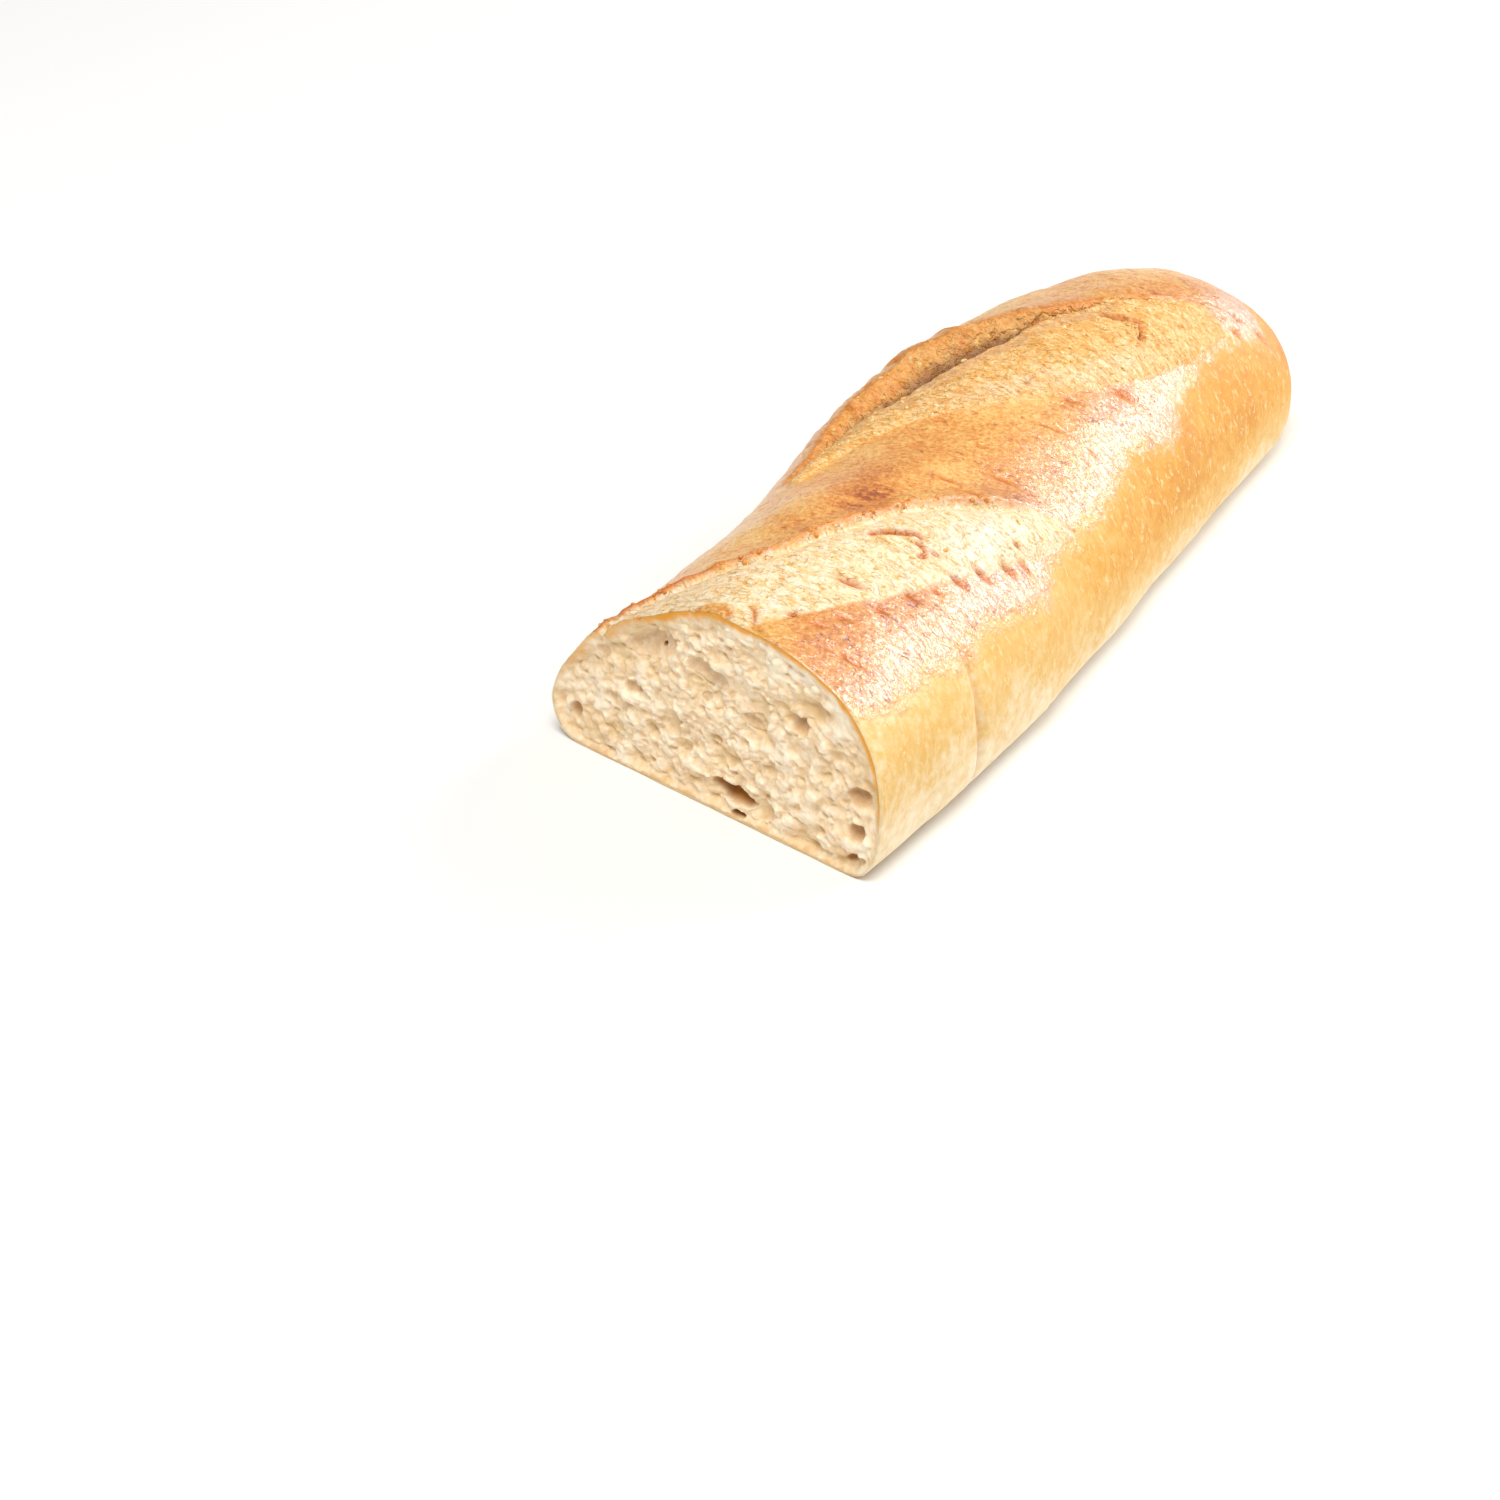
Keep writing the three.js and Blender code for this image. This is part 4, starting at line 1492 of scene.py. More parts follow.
@dataclass(frozen=True)
class CrustFinish:
    """Baked wheat dough skin: dried and browned in a hot oven, satin where it stretched taut.

    Steam at the start of the bake leaves a thin glazed film that wrinkles finely round the loaf,
    while the dough that tore open later stays pale, matt and flaky.
    """

    skin_stops: Stops = (
        (0.08, "#f4ca7e"),
        (0.36, "#ecb05a"),
        (0.56, "#e0923b"),
        (0.78, "#cb7524"),
        (1.0, "#a04a0f"),
    )
    flank_stops: Stops = (
        (0.0, "#f0dfbc"),
        (0.3, "#deb466"),
        (0.6, "#d6982e"),
        (0.85, "#cb821e"),
        (1.0, "#a9621d"),
    )
    torn_stops: Stops = ((0.34, "#d89f4b"), (0.44, "#eac68c"), (0.54, "#f2dbb6"), (0.7, "#f8ebd5"))
    ridge_stops: Stops = ((0.32, "#c67c2a"), (0.44, "#e0a04a"), (0.56, "#eec27e"), (0.72, "#f7deb2"))
    wall_stops: Stops = ((0.36, "#a2540f"), (0.46, "#cd7f25"), (0.55, "#e8b055"), (0.66, "#f6dfa8"))
    strip_stops: Stops = ((0.3, "#d08f56"), (0.6, "#e3b47e"))
    web_colour: str = "#ecc070"
    vein_colour: str = "#dd9f45"
    lip_colour: str = "#c9762a"
    speckle_colour: str = "#ecd096"
    # The glaze colour is partly a painted highlight, the line colour adds painted shade in the pits, cracks
    # and crease, and the crevice colour is painted shade.
    glaze_and_highlight_colour: str = "#f6e9d6"
    line_brown_and_shade_colour: str = "#c4681c"
    flour_colour: str = "#d3ab9a"
    crevice_shade_colour: str = "#7a430f"
    rind_colour: str = "#cf8233"
    rind_pale_colour: str = "#e5b266"
    vein_share: float = 0.48
    dent_share: float = 0.28
    crevice_shade_share: float = 0.9
    skin_roughness: float = 0.29
    glaze_roughness: float = 0.31
    flank_roughness: float = 0.58
    torn_roughness: float = 0.45
    glaze_polish: float = 0.3
    flour_dulling: float = 0.25
    # A crust's film wrinkles at about 0.3 mm, which is one pixel here, so it is drawn coarser.
    wrinkle_mm: float = 0.85
    network_mm: float = 1.35
    film_mm: float = 1.2
    fleck_mm: float = 3.4
    mottle_mm: float = 2.6
    # Flour dust is far finer than a pixel, so its clusters are drawn instead.
    dust_mm: float = 1.3
    web_mm: float = 2.4
    web_bend_mm: float = 1.6
    vein_mm: float = 1.7
    pebble_mm: float = 0.8

    def material(self) -> bpy.types.Material:
        """Builds the material.

        Returns:
            The finished material.
        """
        r = Recipe("baked_wheat_crust")
        round_loaf = r.stretched((1.0, 0.8, 0.8))
        mottle = r.grain(self.mottle_mm, 3.0)
        pebble = r.grain(self.pebble_mm, 3.0)
        wrinkle = r.grain(self.wrinkle_mm, 3.0, round_loaf, 0.4)
        flakes = r.grain(1.6 * self.wrinkle_mm, 3.0, r.stretched((1.0, 0.4, 0.4)), 1.0)
        layered = r.maths("ADD", r.maths("MULTIPLY", flakes, 0.65), r.maths("MULTIPLY", pebble, 0.35))

        # Which kind of surface this is, with edges that wander by a millimetre or more.
        skin = r.ragged(r.value("skin_mm"), mottle, 5.0, 2.4)
        torn = r.ragged(r.value("torn_mm"), mottle, 1.8, 0.7)
        ridge = r.ragged(r.value("ridge_mm"), mottle, 1.4, 0.5)
        wall = r.ragged(r.value("wall_mm"), pebble, 0.6, 0.3)
        open_dough = r.maths("MAXIMUM", r.maths("MAXIMUM", torn, ridge), wall)
        skin_only = r.maths("MULTIPLY", skin, r.maths("SUBTRACT", 1.0, open_dough))
        line, glaze_and_highlight, flour = r.value("line"), r.value("glaze_and_highlight"), r.value("flour")

        # Skin: browned by the oven, mottled and darker in its dents; paler on its wrinkles' crests and
        # browner between them, partly a painted highlight and shade.
        swing = r.maths("MULTIPLY", r.maths("SUBTRACT", mottle, 0.5), 0.35)
        wrinkle_tone_and_shade = r.maths("MULTIPLY", r.maths("SUBTRACT", 0.5, wrinkle), 1.3)
        dent = r.step(r.grain(self.fleck_mm, 3.0, r.stretched((1.0, 0.5, 0.5)), 1.2), 0.58, 0.68)
        dent = r.maths("MULTIPLY", dent, r.step(mottle, 0.36, 0.6, 0.25, 1.0))
        baked = r.maths("ADD", r.maths("ADD", r.value("bake"), swing), wrinkle_tone_and_shade)
        baked = r.maths("ADD", baked, r.maths("MULTIPLY", dent, self.dent_share), True)
        skin_colour = r.ramp(baked, self.skin_stops)

        # Flanks: pale gold, dusted with flour.
        golden = r.maths("ADD", r.value("flank"), r.maths("MULTIPLY", swing, 1.6), True)
        dusty = r.step(r.grain(self.dust_mm, 3.0, r.stretched((1.0, 0.6, 0.6)), 0.8), 0.52, 0.66)
        dusty = r.maths("MULTIPLY", dusty, r.step(mottle, 0.35, 0.65, 0.15, 0.75))
        flank_colour = r.mixed(dusty, r.ramp(golden, self.flank_stops), self.speckle_colour)
        colour = r.mixed(skin, flank_colour, skin_colour)

        # Torn dough of both scores, and the strip along the far one.
        colour = r.mixed(torn, colour, r.ramp(layered, self.torn_stops))
        colour = r.mixed(ridge, colour, r.ramp(layered, self.ridge_stops))
        strip = r.maths("MULTIPLY", r.value("strip"), r.step(mottle, 0.4, 0.55))
        colour = r.mixed(strip, colour, r.ramp(layered, self.strip_stops))

        # The crevice's wall: pulled into webs, and browned where it rises to the lip.
        bend = r.vectors("SCALE", {0: r.grain(2.0, 2.0, key="Color"), "Scale": self.web_bend_mm * METRES})
        webs = r.step(r.cells(self.web_mm, r.vectors("ADD", {0: r.place, 1: bend})), 0.02, 0.3, 0.6, 1.0)
        webbed = r.mixed(webs, self.web_colour, r.ramp(layered, self.wall_stops))
        browned = r.ragged(r.maths("SUBTRACT", r.value("wall_share"), 0.6), mottle, 0.5, 0.06)
        colour = r.mixed(wall, colour, r.mixed(browned, webbed, r.mixed(0.4, skin_colour, self.lip_colour)))

        # Golden veins between the flakes of all torn dough.
        vein = r.grain(self.vein_mm, 2.0, r.stretched((1.0, 0.4, 0.4)), 0.6)
        vein = r.step(r.maths("ABSOLUTE", r.maths("SUBTRACT", vein, 0.5)), 0.0, 0.035, 1.0, 0.0)
        vein = r.maths("MULTIPLY", r.maths("MULTIPLY", vein, r.step(mottle, 0.42, 0.56)), open_dough)
        colour = r.mixed(r.maths("MULTIPLY", vein, self.vein_share), colour, self.vein_colour)

        # What lies over them: glaze whose paleness is partly a painted highlight, brown lines with painted
        # shade in the pits, cracks and crease, rind, flour and painted shade in the crevice.
        # Painted highlight: the glaze's pale colour where the lights glare, over a real lower roughness.
        glazed = r.maths("MULTIPLY", glaze_and_highlight, r.step(layered, 0.4, 0.6, 0.3, 0.8))
        colour = r.mixed(glazed, colour, self.glaze_and_highlight_colour)
        colour = r.mixed(line, colour, self.line_brown_and_shade_colour)
        rind_colour = r.mixed(r.step(wrinkle, 0.4, 0.6), self.rind_colour, self.rind_pale_colour)
        colour = r.mixed(r.value("rind"), colour, rind_colour)
        colour = r.mixed(r.maths("MULTIPLY", flour, r.step(pebble, 0.3, 0.6)), colour, self.flour_colour)
        colour = r.mixed(r.maths("MULTIPLY", r.value("deep"), self.crevice_shade_share), colour, self.crevice_shade_colour)

        # Gloss: satin skin, dull flanks, matt torn dough, duller still under flour.
        smoother = r.maths("MULTIPLY", skin, self.skin_roughness - self.flank_roughness)
        roughness = r.maths("ADD", smoother, self.flank_roughness)
        to_torn = r.maths("MULTIPLY", open_dough, r.maths("SUBTRACT", self.torn_roughness, roughness))
        roughness = r.maths("ADD", to_torn, roughness)
        roughness = r.maths("SUBTRACT", roughness, r.maths("MULTIPLY", glaze_and_highlight, self.glaze_polish))
        roughness = r.maths("ADD", roughness, r.maths("MULTIPLY", flour, self.flour_dulling), True)

        # Relief: wrinkles in the taut skin, pebbles everywhere, flakes and webs in the torn dough.
        network = r.step(r.cells(self.network_mm, r.stretched((1.0, 0.55, 0.55))), 0.0, 0.24)
        taut = r.maths("ADD", r.maths("MULTIPLY", network, 0.04), r.maths("MULTIPLY", wrinkle, 0.5))
        taut = r.maths("SUBTRACT", taut, r.maths("MULTIPLY", dent, 0.22))
        normal = r.raised(r.maths("MULTIPLY", taut, skin_only), 1.0, 0.9)
        normal = r.raised(pebble, 0.2, 0.7, normal)
        rough_dough = r.maths("SUBTRACT", layered, r.maths("MULTIPLY", vein, 0.3))
        normal = r.raised(r.maths("MULTIPLY", rough_dough, open_dough), 0.8, 0.9, normal)
        web_side = r.maths("MULTIPLY", wall, r.maths("SUBTRACT", browned, 1.0))
        normal = r.raised(r.maths("MULTIPLY", webs, web_side), 0.6, 0.8, normal)

        # The baked film is smoother than the skin under it, so its sheen lies in soft streaks.
        film = r.grain(self.film_mm, 2.0, r.stretched((1.0, 0.5, 0.5)), 0.6)
        film = r.maths("SUBTRACT", film, r.maths("MULTIPLY", dent, 0.25))
        film = r.maths("MULTIPLY", film, skin_only)
        coated = r.maths("MULTIPLY", skin_only, r.maths("SUBTRACT", r.value("shine"), line), True)
        return r.finish(
            {
                "Base Color": colour,
                "Roughness": roughness,
                "Normal": normal,
                "IOR": 1.55,
                "Coat Weight": coated,
                "Coat Roughness": self.glaze_roughness,
                "Coat IOR": 2.2,
                "Coat Normal": r.raised(film, 0.7, 0.9),
                "Subsurface Weight": 0.1,
                "Subsurface Radius": (1.0, 0.5, 0.2),
                "Subsurface Scale": 1.2 * METRES,
            }
        )


@dataclass(frozen=True)
class CrumbFinish:
    """Soft wheat crumb: dough set around gas bubbles, thin translucent walls, matt and ivory."""

    face_stops: Stops = ((0.3, "#e6c594"), (0.5, "#f0d5af"), (0.7, "#f9e8cd"))
    # The colour of the raised lumps is a painted highlight; the pores' and deep hollows' colours are painted
    # shade.
    lump_highlight_colour: str = "#fdf1da"
    pore_shade_colour: str = "#e7c897"
    hollow_shade_colour: str = "#ad7330"
    rim_colour: str = "#eba037"
    foot_colour: str = "#cd9a60"
    lump_highlight_share: float = 0.55
    roughness: float = 0.85
    # The bubbles' walls are about 0.1 mm thick, which no render shows, so their clusters are drawn.
    grain_mm: float = 1.5

    def material(self) -> bpy.types.Material:
        """Builds the material.

        Returns:
            The finished material.
        """
        r = Recipe("soft_wheat_crumb")
        colour = r.ramp(r.grain(self.grain_mm, 4.0), self.face_stops)
        lump_highlight = r.maths("MULTIPLY", r.value("lump_highlight"), self.lump_highlight_share)
        # Painted highlight on the raised lumps, painted shade in the pores and deeper in the hollows; the
        # golden rim and the brown foot are the crust's own colour.
        for share, over in (
            (lump_highlight, self.lump_highlight_colour),
            (r.value("pore_shade"), self.pore_shade_colour),
            (r.value("hollow_shade"), self.hollow_shade_colour),
            (r.value("rim"), self.rim_colour),
            (r.value("foot"), self.foot_colour),
        ):
            colour = r.mixed(share, colour, over)
        normal = r.raised(r.grain(self.grain_mm / 2, 3.0), 0.25, 0.6)
        return r.finish(
            {
                "Base Color": colour,
                "Roughness": self.roughness,
                "Normal": normal,
                "IOR": 1.35,
                "Subsurface Weight": 0.4,
                "Subsurface Radius": (1.0, 0.75, 0.45),
                "Subsurface Scale": 1.4 * METRES,
            }
        )


@dataclass(frozen=True)
class Hollow:
    """A larger gas hollow of the crumb where the cut opens it."""

    y: float
    z: float
    across: float
    up: float
    deep: float
    lean: float = 0.0
    # How much painted shade lies deep in the hollow.
    hollow_shade: float = 0.35


@dataclass(frozen=True)
class Bubbles:
    """Bubbles of one size that the cut opened: how deep, their spacing, and how rare deep ones are."""

    depth: float
    spacing: tuple[float, float, float]
    seed: int
    rare: float
    bend: float

    def at(self, p: Array) -> Array:
        """How deep they are at each place: shallow bowls, most of them faint.

        Args:
            p: points on the face.

        Returns:
            The depth in millimetres.
        """
        q = p / np.asarray(self.spacing, float)
        cell = np.floor(q).astype(np.int64)
        depth = np.zeros(p.shape[:-1])
        for k in range(9):
            other = cell + np.array([0, k % 3 - 1, k // 3 - 1])
            spot = other + np.stack([lattice_values(other, self.seed + n) for n in range(3)], axis=-1)
            gap = np.linalg.norm((q - spot)[..., 1:], axis=-1)
            reach = 0.35 + 0.45 * lattice_values(other, self.seed + 3)
            strength = lattice_values(other, self.seed + 4) ** self.rare
            depth = np.maximum(depth, strength * np.sqrt(np.clip(1 - (gap / reach) ** 2, 0, None)))
        return self.depth * depth


@dataclass
class Crumb:
    """The crumb at the cut: a plug with an open, porous face."""

    body: LoafBody
    rim: float
    rings: int = 160
    columns: int = 600
    back_depth: float = 10.0
    back_taper: float = 0.86
    row_power: float = 0.85
    swell_depth: float = 1.2
    swells: Grain = Grain(1.1, 7.0, 121, 2)
    clods: Grain = Grain(0.7, 2.8, 123, 2)
    crumbs: Grain = Grain(0.16, 1.0, 161, 2)
    bends: tuple[Grain, ...] = (Grain(0.9, 2.6, 111, 3), Grain(0.9, 2.6, 115, 3))
    bubbles: tuple[Bubbles, ...] = (
        Bubbles(1.1, (1.0, 4.4, 3.2), 131, 2.8, 1.0),
        Bubbles(-0.75, (1.0, 2.6, 2.2), 141, 1.0, 0.6),
        Bubbles(0.8, (1.0, 1.7, 1.3), 151, 5.0, 0.3),
    )
    hollow_bend: float = 0.35
    hollow_calm: float = 0.55
    edge_calm: tuple[float, float] = (2.4, 3.2)
    edge_grain: Grain = Grain(0.4, 6.0, 175, 2)
    foot_grain: Grain = Grain(0.8, 1.4, 171, 2)
    rim_grain: Grain = Grain(1.1, 2.4, 173, 2)
    hollows: tuple[Hollow, ...] = (
        Hollow(16.3, 32.6, 8.0, 3.6, 4.4, -24, 0.12),
        Hollow(0.7, 31.9, 5.6, 3.0, 3.0, 10, 0.15),
        Hollow(-24.3, 29.3, 2.7, 2.2, 3.4, 0, 0.4),
        Hollow(-5.9, 5.6, 6.0, 2.2, 4.6, 8, 1.0),
        Hollow(-39.4, 18.5, 3.2, 2.4, 3.6, -20, 0.5),
        Hollow(-39.4, 10.2, 2.4, 2.3, 3.4, 0, 0.5),
        Hollow(38.2, 7.4, 1.6, 2.4, 2.8, 0, 0.5),
        Hollow(-11.5, 24.6, 2.6, 1.7, 2.4, 30, 0.25),
        Hollow(22.4, 19.8, 2.3, 1.6, 2.0, -15, 0.25),
        Hollow(9.3, 16.9, 1.2, 0.9, 2.4, 0, 0.5),
        Hollow(14.7, 32.4, 0.7, 0.5, 6.0, 0, 1.0),
        Hollow(-38.3, 3.4, 2.6, 0.9, 2.6, -35, 0.8),
        Hollow(-8.0, 1.2, 1.9, 0.8, 3.0, 0, 1.3),
        Hollow(-29.0, 26.0, 1.0, 0.9, 1.8, 0, 0.3),
        Hollow(30.0, 25.5, 1.9, 1.3, 1.6, 20, 0.2),
        Hollow(1.5, 25.6, 1.7, 1.1, 1.7, -10, 0.25),
    )

    def depth(self, p: Array) -> tuple[Array, Array, Array]:
        """How deep the torn bubbles reach behind the cut.

        Args:
            p: points on the face.

        Returns:
            The depth, the depth of the larger hollows alone, and how much painted shade lies in these, more
            towards their bottoms.
        """
        flat = p * np.array([0.0, 1.0, 1.0])
        bend = np.stack([np.zeros(p.shape[:-1])] + [grain.at(flat) for grain in self.bends], axis=-1)
        eased = flat + self.hollow_bend * bend
        depth = self.slow_depth(flat) + self.clods.at(flat + bend)
        for bubbles in self.bubbles:
            depth = depth + bubbles.at(flat + bubbles.bend * bend)
        depth = depth + self.crumbs.at(flat)
        large, hollow_shade = np.zeros_like(depth), np.zeros_like(depth)
        for h in self.hollows:
            a = math.radians(h.lean)
            dy, dz = eased[..., 1] - h.y, eased[..., 2] - h.z
            u = (dy * math.cos(a) + dz * math.sin(a)) / h.across
            v = (dz * math.cos(a) - dy * math.sin(a)) / h.up
            bowl = np.clip(1 - u * u - v * v, 0, None) ** 0.5 * h.deep * (0.85 + 0.3 * v)
            large = np.maximum(large, bowl)
            # Painted shade, darker towards the hollow's bottom.
            hollow_shade = np.maximum(hollow_shade, h.hollow_shade * ease(0.0, 0.7 * h.deep, bowl))
        depth = depth * (1 - self.hollow_calm * ease(0.3, 1.5, large))
        return depth + large, large, hollow_shade

    def slow_depth(self, flat: Array) -> Array:
        """The slow swells of the torn face."""
        return self.swell_depth + self.swells.at(flat)

    def build(self, outline: Array) -> bpy.types.Object:
        """Builds the crumb inside the cut's outline.

        Args:
            outline: the crust's outer edge at the cut.

        Returns:
            The crumb's object.
        """
        closed = np.concatenate([outline, outline[:1]])
        edge = even_steps(closed, self.columns)[:-1]
        edge[:, 0] = self.body.cut_skew * edge[:, 1]
        middle = np.array([0.0, 0.0, self.body.crest_height[0] / 2])
        inward = middle - edge
        reach = np.linalg.norm(inward, axis=-1, keepdims=True)
        edge = edge + inward / reach * self.rim
        shares = np.linspace(1, 0, self.rings + 1)[:-1] ** self.row_power
        flat = middle + (edge[None] - middle) * shares[:, None, None]
        depth, large, hollow_shade = self.depth(flat)
        margin = (1 - shares)[:, None] * reach[:, 0][None]
        low_calm, more_above = self.edge_calm
        smooth = low_calm + more_above * ease(16, 28, flat[..., 2]) * (0.8 + self.edge_grain.at(flat))
        open_share = np.maximum(ease(0.0, 1.0, margin / smooth), ease(0.3, 1.5, large))
        sunk = np.maximum(depth, 0.05) * open_share + 0.15
        inward_x = np.array([1.0, -self.body.cut_skew, 0.0])
        inward_x /= np.linalg.norm(inward_x)
        face = flat + sunk[..., None] * inward_x
        back = edge * np.array([1.0, self.back_taper, 1.0]) + np.array([self.back_depth, 0, 0])
        centre = middle + inward_x * 0.8
        back_centre = middle + np.array([self.back_depth, 0, 0])
        points = np.concatenate([face.reshape(-1, 3), back, centre[None], back_centre[None]])
        rows, columns = self.rings, self.columns
        n = np.arange(columns)
        after = (n + 1) % columns
        none = np.full(columns, -1)
        count = rows * columns
        faces = [grid_faces(rows, columns, True)[:, ::-1]]
        faces.append(np.stack([after, n, count + n, count + after], axis=-1)[:, ::-1])
        last = (rows - 1) * columns
        faces.append(np.stack([last + after, last + n, np.full(columns, count + columns), none], axis=-1))
        tip = np.full(columns, count + columns + 1)
        faces.append(np.stack([count + n, count + after, tip, none], axis=-1))
        near_foot = 1 - ease(0.3, 1.1, flat[..., 2] + self.foot_grain.at(flat))
        y, z = flat[..., 1], flat[..., 2]
        golden = (0.2 + 0.8 * ease(10, 22, z)) * (1 - 0.45 * ease(12, 26, y)) * ease(0.5, 4.0, z)
        rim = golden * (1 - ease(0.3, 2.7, margin + self.rim_grain.at(flat))) * (1 - near_foot)
        # Painted shade in the pores and hollows, painted highlight on the raised lumps.
        local = depth - self.slow_depth(flat) - large
        pore_shade = 0.9 * ease(-0.2, 1.4, local) + 0.9 * hollow_shade
        lump_highlight = (1 - ease(-0.9, 0.1, local)) * (1 - ease(0.2, 1.0, large))
        none_behind = np.zeros(columns)
        values = {}
        for name, front, behind in (
            ("rim", rim, rim[0]),
            ("foot", 0.6 * near_foot, near_foot[0]),
            ("lump_highlight", lump_highlight, none_behind),
            ("pore_shade", np.clip(pore_shade, 0, 1), none_behind),
            ("hollow_shade", np.clip(hollow_shade, 0, 1), none_behind),
        ):
            values[name] = np.concatenate([front.ravel(), behind, np.zeros(2)])
        return MeshMaker.make("open_crumb", points, np.concatenate(faces), values)


class Shape(Enum):
    """What is scattered."""

    FLAKE = "flake"
    BEAD = "bead"


@dataclass(frozen=True)
class ScatterSizes:
    """Sizes of one kind of small loose detail, in millimetres, and how thickly it lies."""

    shape: Shape
    where: str
    per_square_mm: float
    least: float
    most: float
    tilt: float
    seed: int
    rough: float = 0.35
    dent_mm: float = 0.9


class Scatter:
    """Geometry Nodes tree that lays small shapes on a surface where one of its values is high."""

    def __init__(self, name: str, sizes: ScatterSizes) -> None:
        """Builds the tree.

        Args:
            name: the name of the tree and of the piece it makes.
            sizes: what is scattered, how large and how thickly.
        """
        self.name, self.sizes = name, sizes
        self.tree = bpy.data.node_groups.new(name, "GeometryNodeTree")
        face = self.tree.interface
        self.sockets = {}
        for label, kind in (
            ("Geometry", "NodeSocketGeometry"),
            ("Density", "NodeSocketFloat"),
            ("Least", "NodeSocketFloat"),
            ("Most", "NodeSocketFloat"),
            ("Tilt", "NodeSocketFloat"),
            ("Rough", "NodeSocketFloat"),
            ("Seed", "NodeSocketInt"),
            ("Material", "NodeSocketMaterial"),
        ):
            self.sockets[label] = face.new_socket(label, in_out="INPUT", socket_type=kind).identifier
        face.new_socket("Geometry", in_out="OUTPUT", socket_type="NodeSocketGeometry")
        self.lay()

    def node(self, kind: str, settings: dict[str, Any], inputs: dict[Any, Any]) -> Any:
        """Adds a node to this tree."""
        return add_node(self.tree, kind, settings, inputs)

    def shape(self) -> Any:
        """Adds the nodes of one shape of unit size and returns its socket.

        Returns:
            The shape's socket.
        """
        ball = self.node("GeometryNodeMeshIcoSphere", {}, {"Radius": 1.0, "Subdivisions": 2})
        scale = (1.0, 0.62, 0.3) if self.sizes.shape is Shape.FLAKE else (1.0, 0.85, 0.75)
        shaped = {"Geometry": ball.outputs[0], "Scale": scale}
        return self.node("GeometryNodeTransform", {}, shaped).outputs[0]

    def lay(self) -> None:
        """Adds the nodes that lay the shapes, join them and give them their material."""
        given = self.node("NodeGroupInput", {}, {}).outputs
        named = {"Name": self.sizes.where}
        where = self.node("GeometryNodeInputNamedAttribute", {"data_type": "FLOAT"}, named)
        times = {"operation": "MULTIPLY"}
        thick = self.node("ShaderNodeMath", times, {0: where.outputs[0], 1: given["Density"]})
        spread = self.node(
            "GeometryNodeDistributePointsOnFaces",
            {"distribute_method": "RANDOM"},
            {"Mesh": given["Geometry"], "Density": thick.outputs[0], "Seed": given["Seed"]},
        )
        down = self.node("ShaderNodeMath", times, {0: given["Tilt"], 1: -1.0}).outputs[0]
        low = self.node("ShaderNodeCombineXYZ", {}, {"X": down, "Y": down, "Z": -math.pi})
        high = self.node("ShaderNodeCombineXYZ", {}, {"X": given["Tilt"], "Y": given["Tilt"], "Z": math.pi})
        turn = self.node(
            "FunctionNodeRandomValue",
            {"data_type": "FLOAT_VECTOR"},
            {"Min": low.outputs[0], "Max": high.outputs[0], "Seed": given["Seed"]},
        )
        euler = self.node("FunctionNodeEulerToRotation", {}, {"Euler": turn.outputs[0]})
        turned = self.node(
            "FunctionNodeRotateRotation",
            {"rotation_space": "LOCAL"},
            {"Rotation": spread.outputs["Rotation"], "Rotate By": euler.outputs[0]},
        )
        # The random number's sockets share their names across its data types; the live ones are taken.
        size = self.node("FunctionNodeRandomValue", {"data_type": "FLOAT"}, {})
        for label, feed in (("Min", "Least"), ("Max", "Most"), ("Seed", "Seed")):
            socket = next(i for i in size.inputs if i.name == label and i.enabled)
            self.tree.links.new(given[feed], socket)
        laid = {
            "Points": spread.outputs["Points"],
            "Instance": self.shape(),
            "Rotation": turned.outputs[0],
            "Scale": next(o for o in size.outputs if o.enabled),
        }
        placed = self.node("GeometryNodeInstanceOnPoints", {}, laid)
        real = self.node("GeometryNodeRealizeInstances", {}, {"Geometry": placed.outputs[0]})
        here = self.node("GeometryNodeInputPosition", {}, {})
        scale = 1 / (self.sizes.dent_mm * METRES)
        dents = {"Vector": here.outputs[0], "Scale": scale, "Detail": 1.0}
        dents = self.node("ShaderNodeTexNoise", {}, dents).outputs["Color"]
        middle = (0.5, 0.5, 0.5)
        centred = self.node("ShaderNodeVectorMath", {"operation": "SUBTRACT"}, {0: dents, 1: middle})
        pushed = {0: centred.outputs[0], "Scale": given["Rough"]}
        push = self.node("ShaderNodeVectorMath", {"operation": "SCALE"}, pushed)
        bent = {"Geometry": real.outputs[0], "Offset": push.outputs[0]}
        bent = self.node("GeometryNodeSetPosition", {}, bent)
        smooth = self.node("GeometryNodeSetShadeSmooth", {}, {"Geometry": bent.outputs[0]})
        dressed = {"Geometry": smooth.outputs[0], "Material": given["Material"]}
        dressed = self.node("GeometryNodeSetMaterial", {}, dressed)
        self.node("NodeGroupOutput", {}, {"Geometry": dressed.outputs[0]})

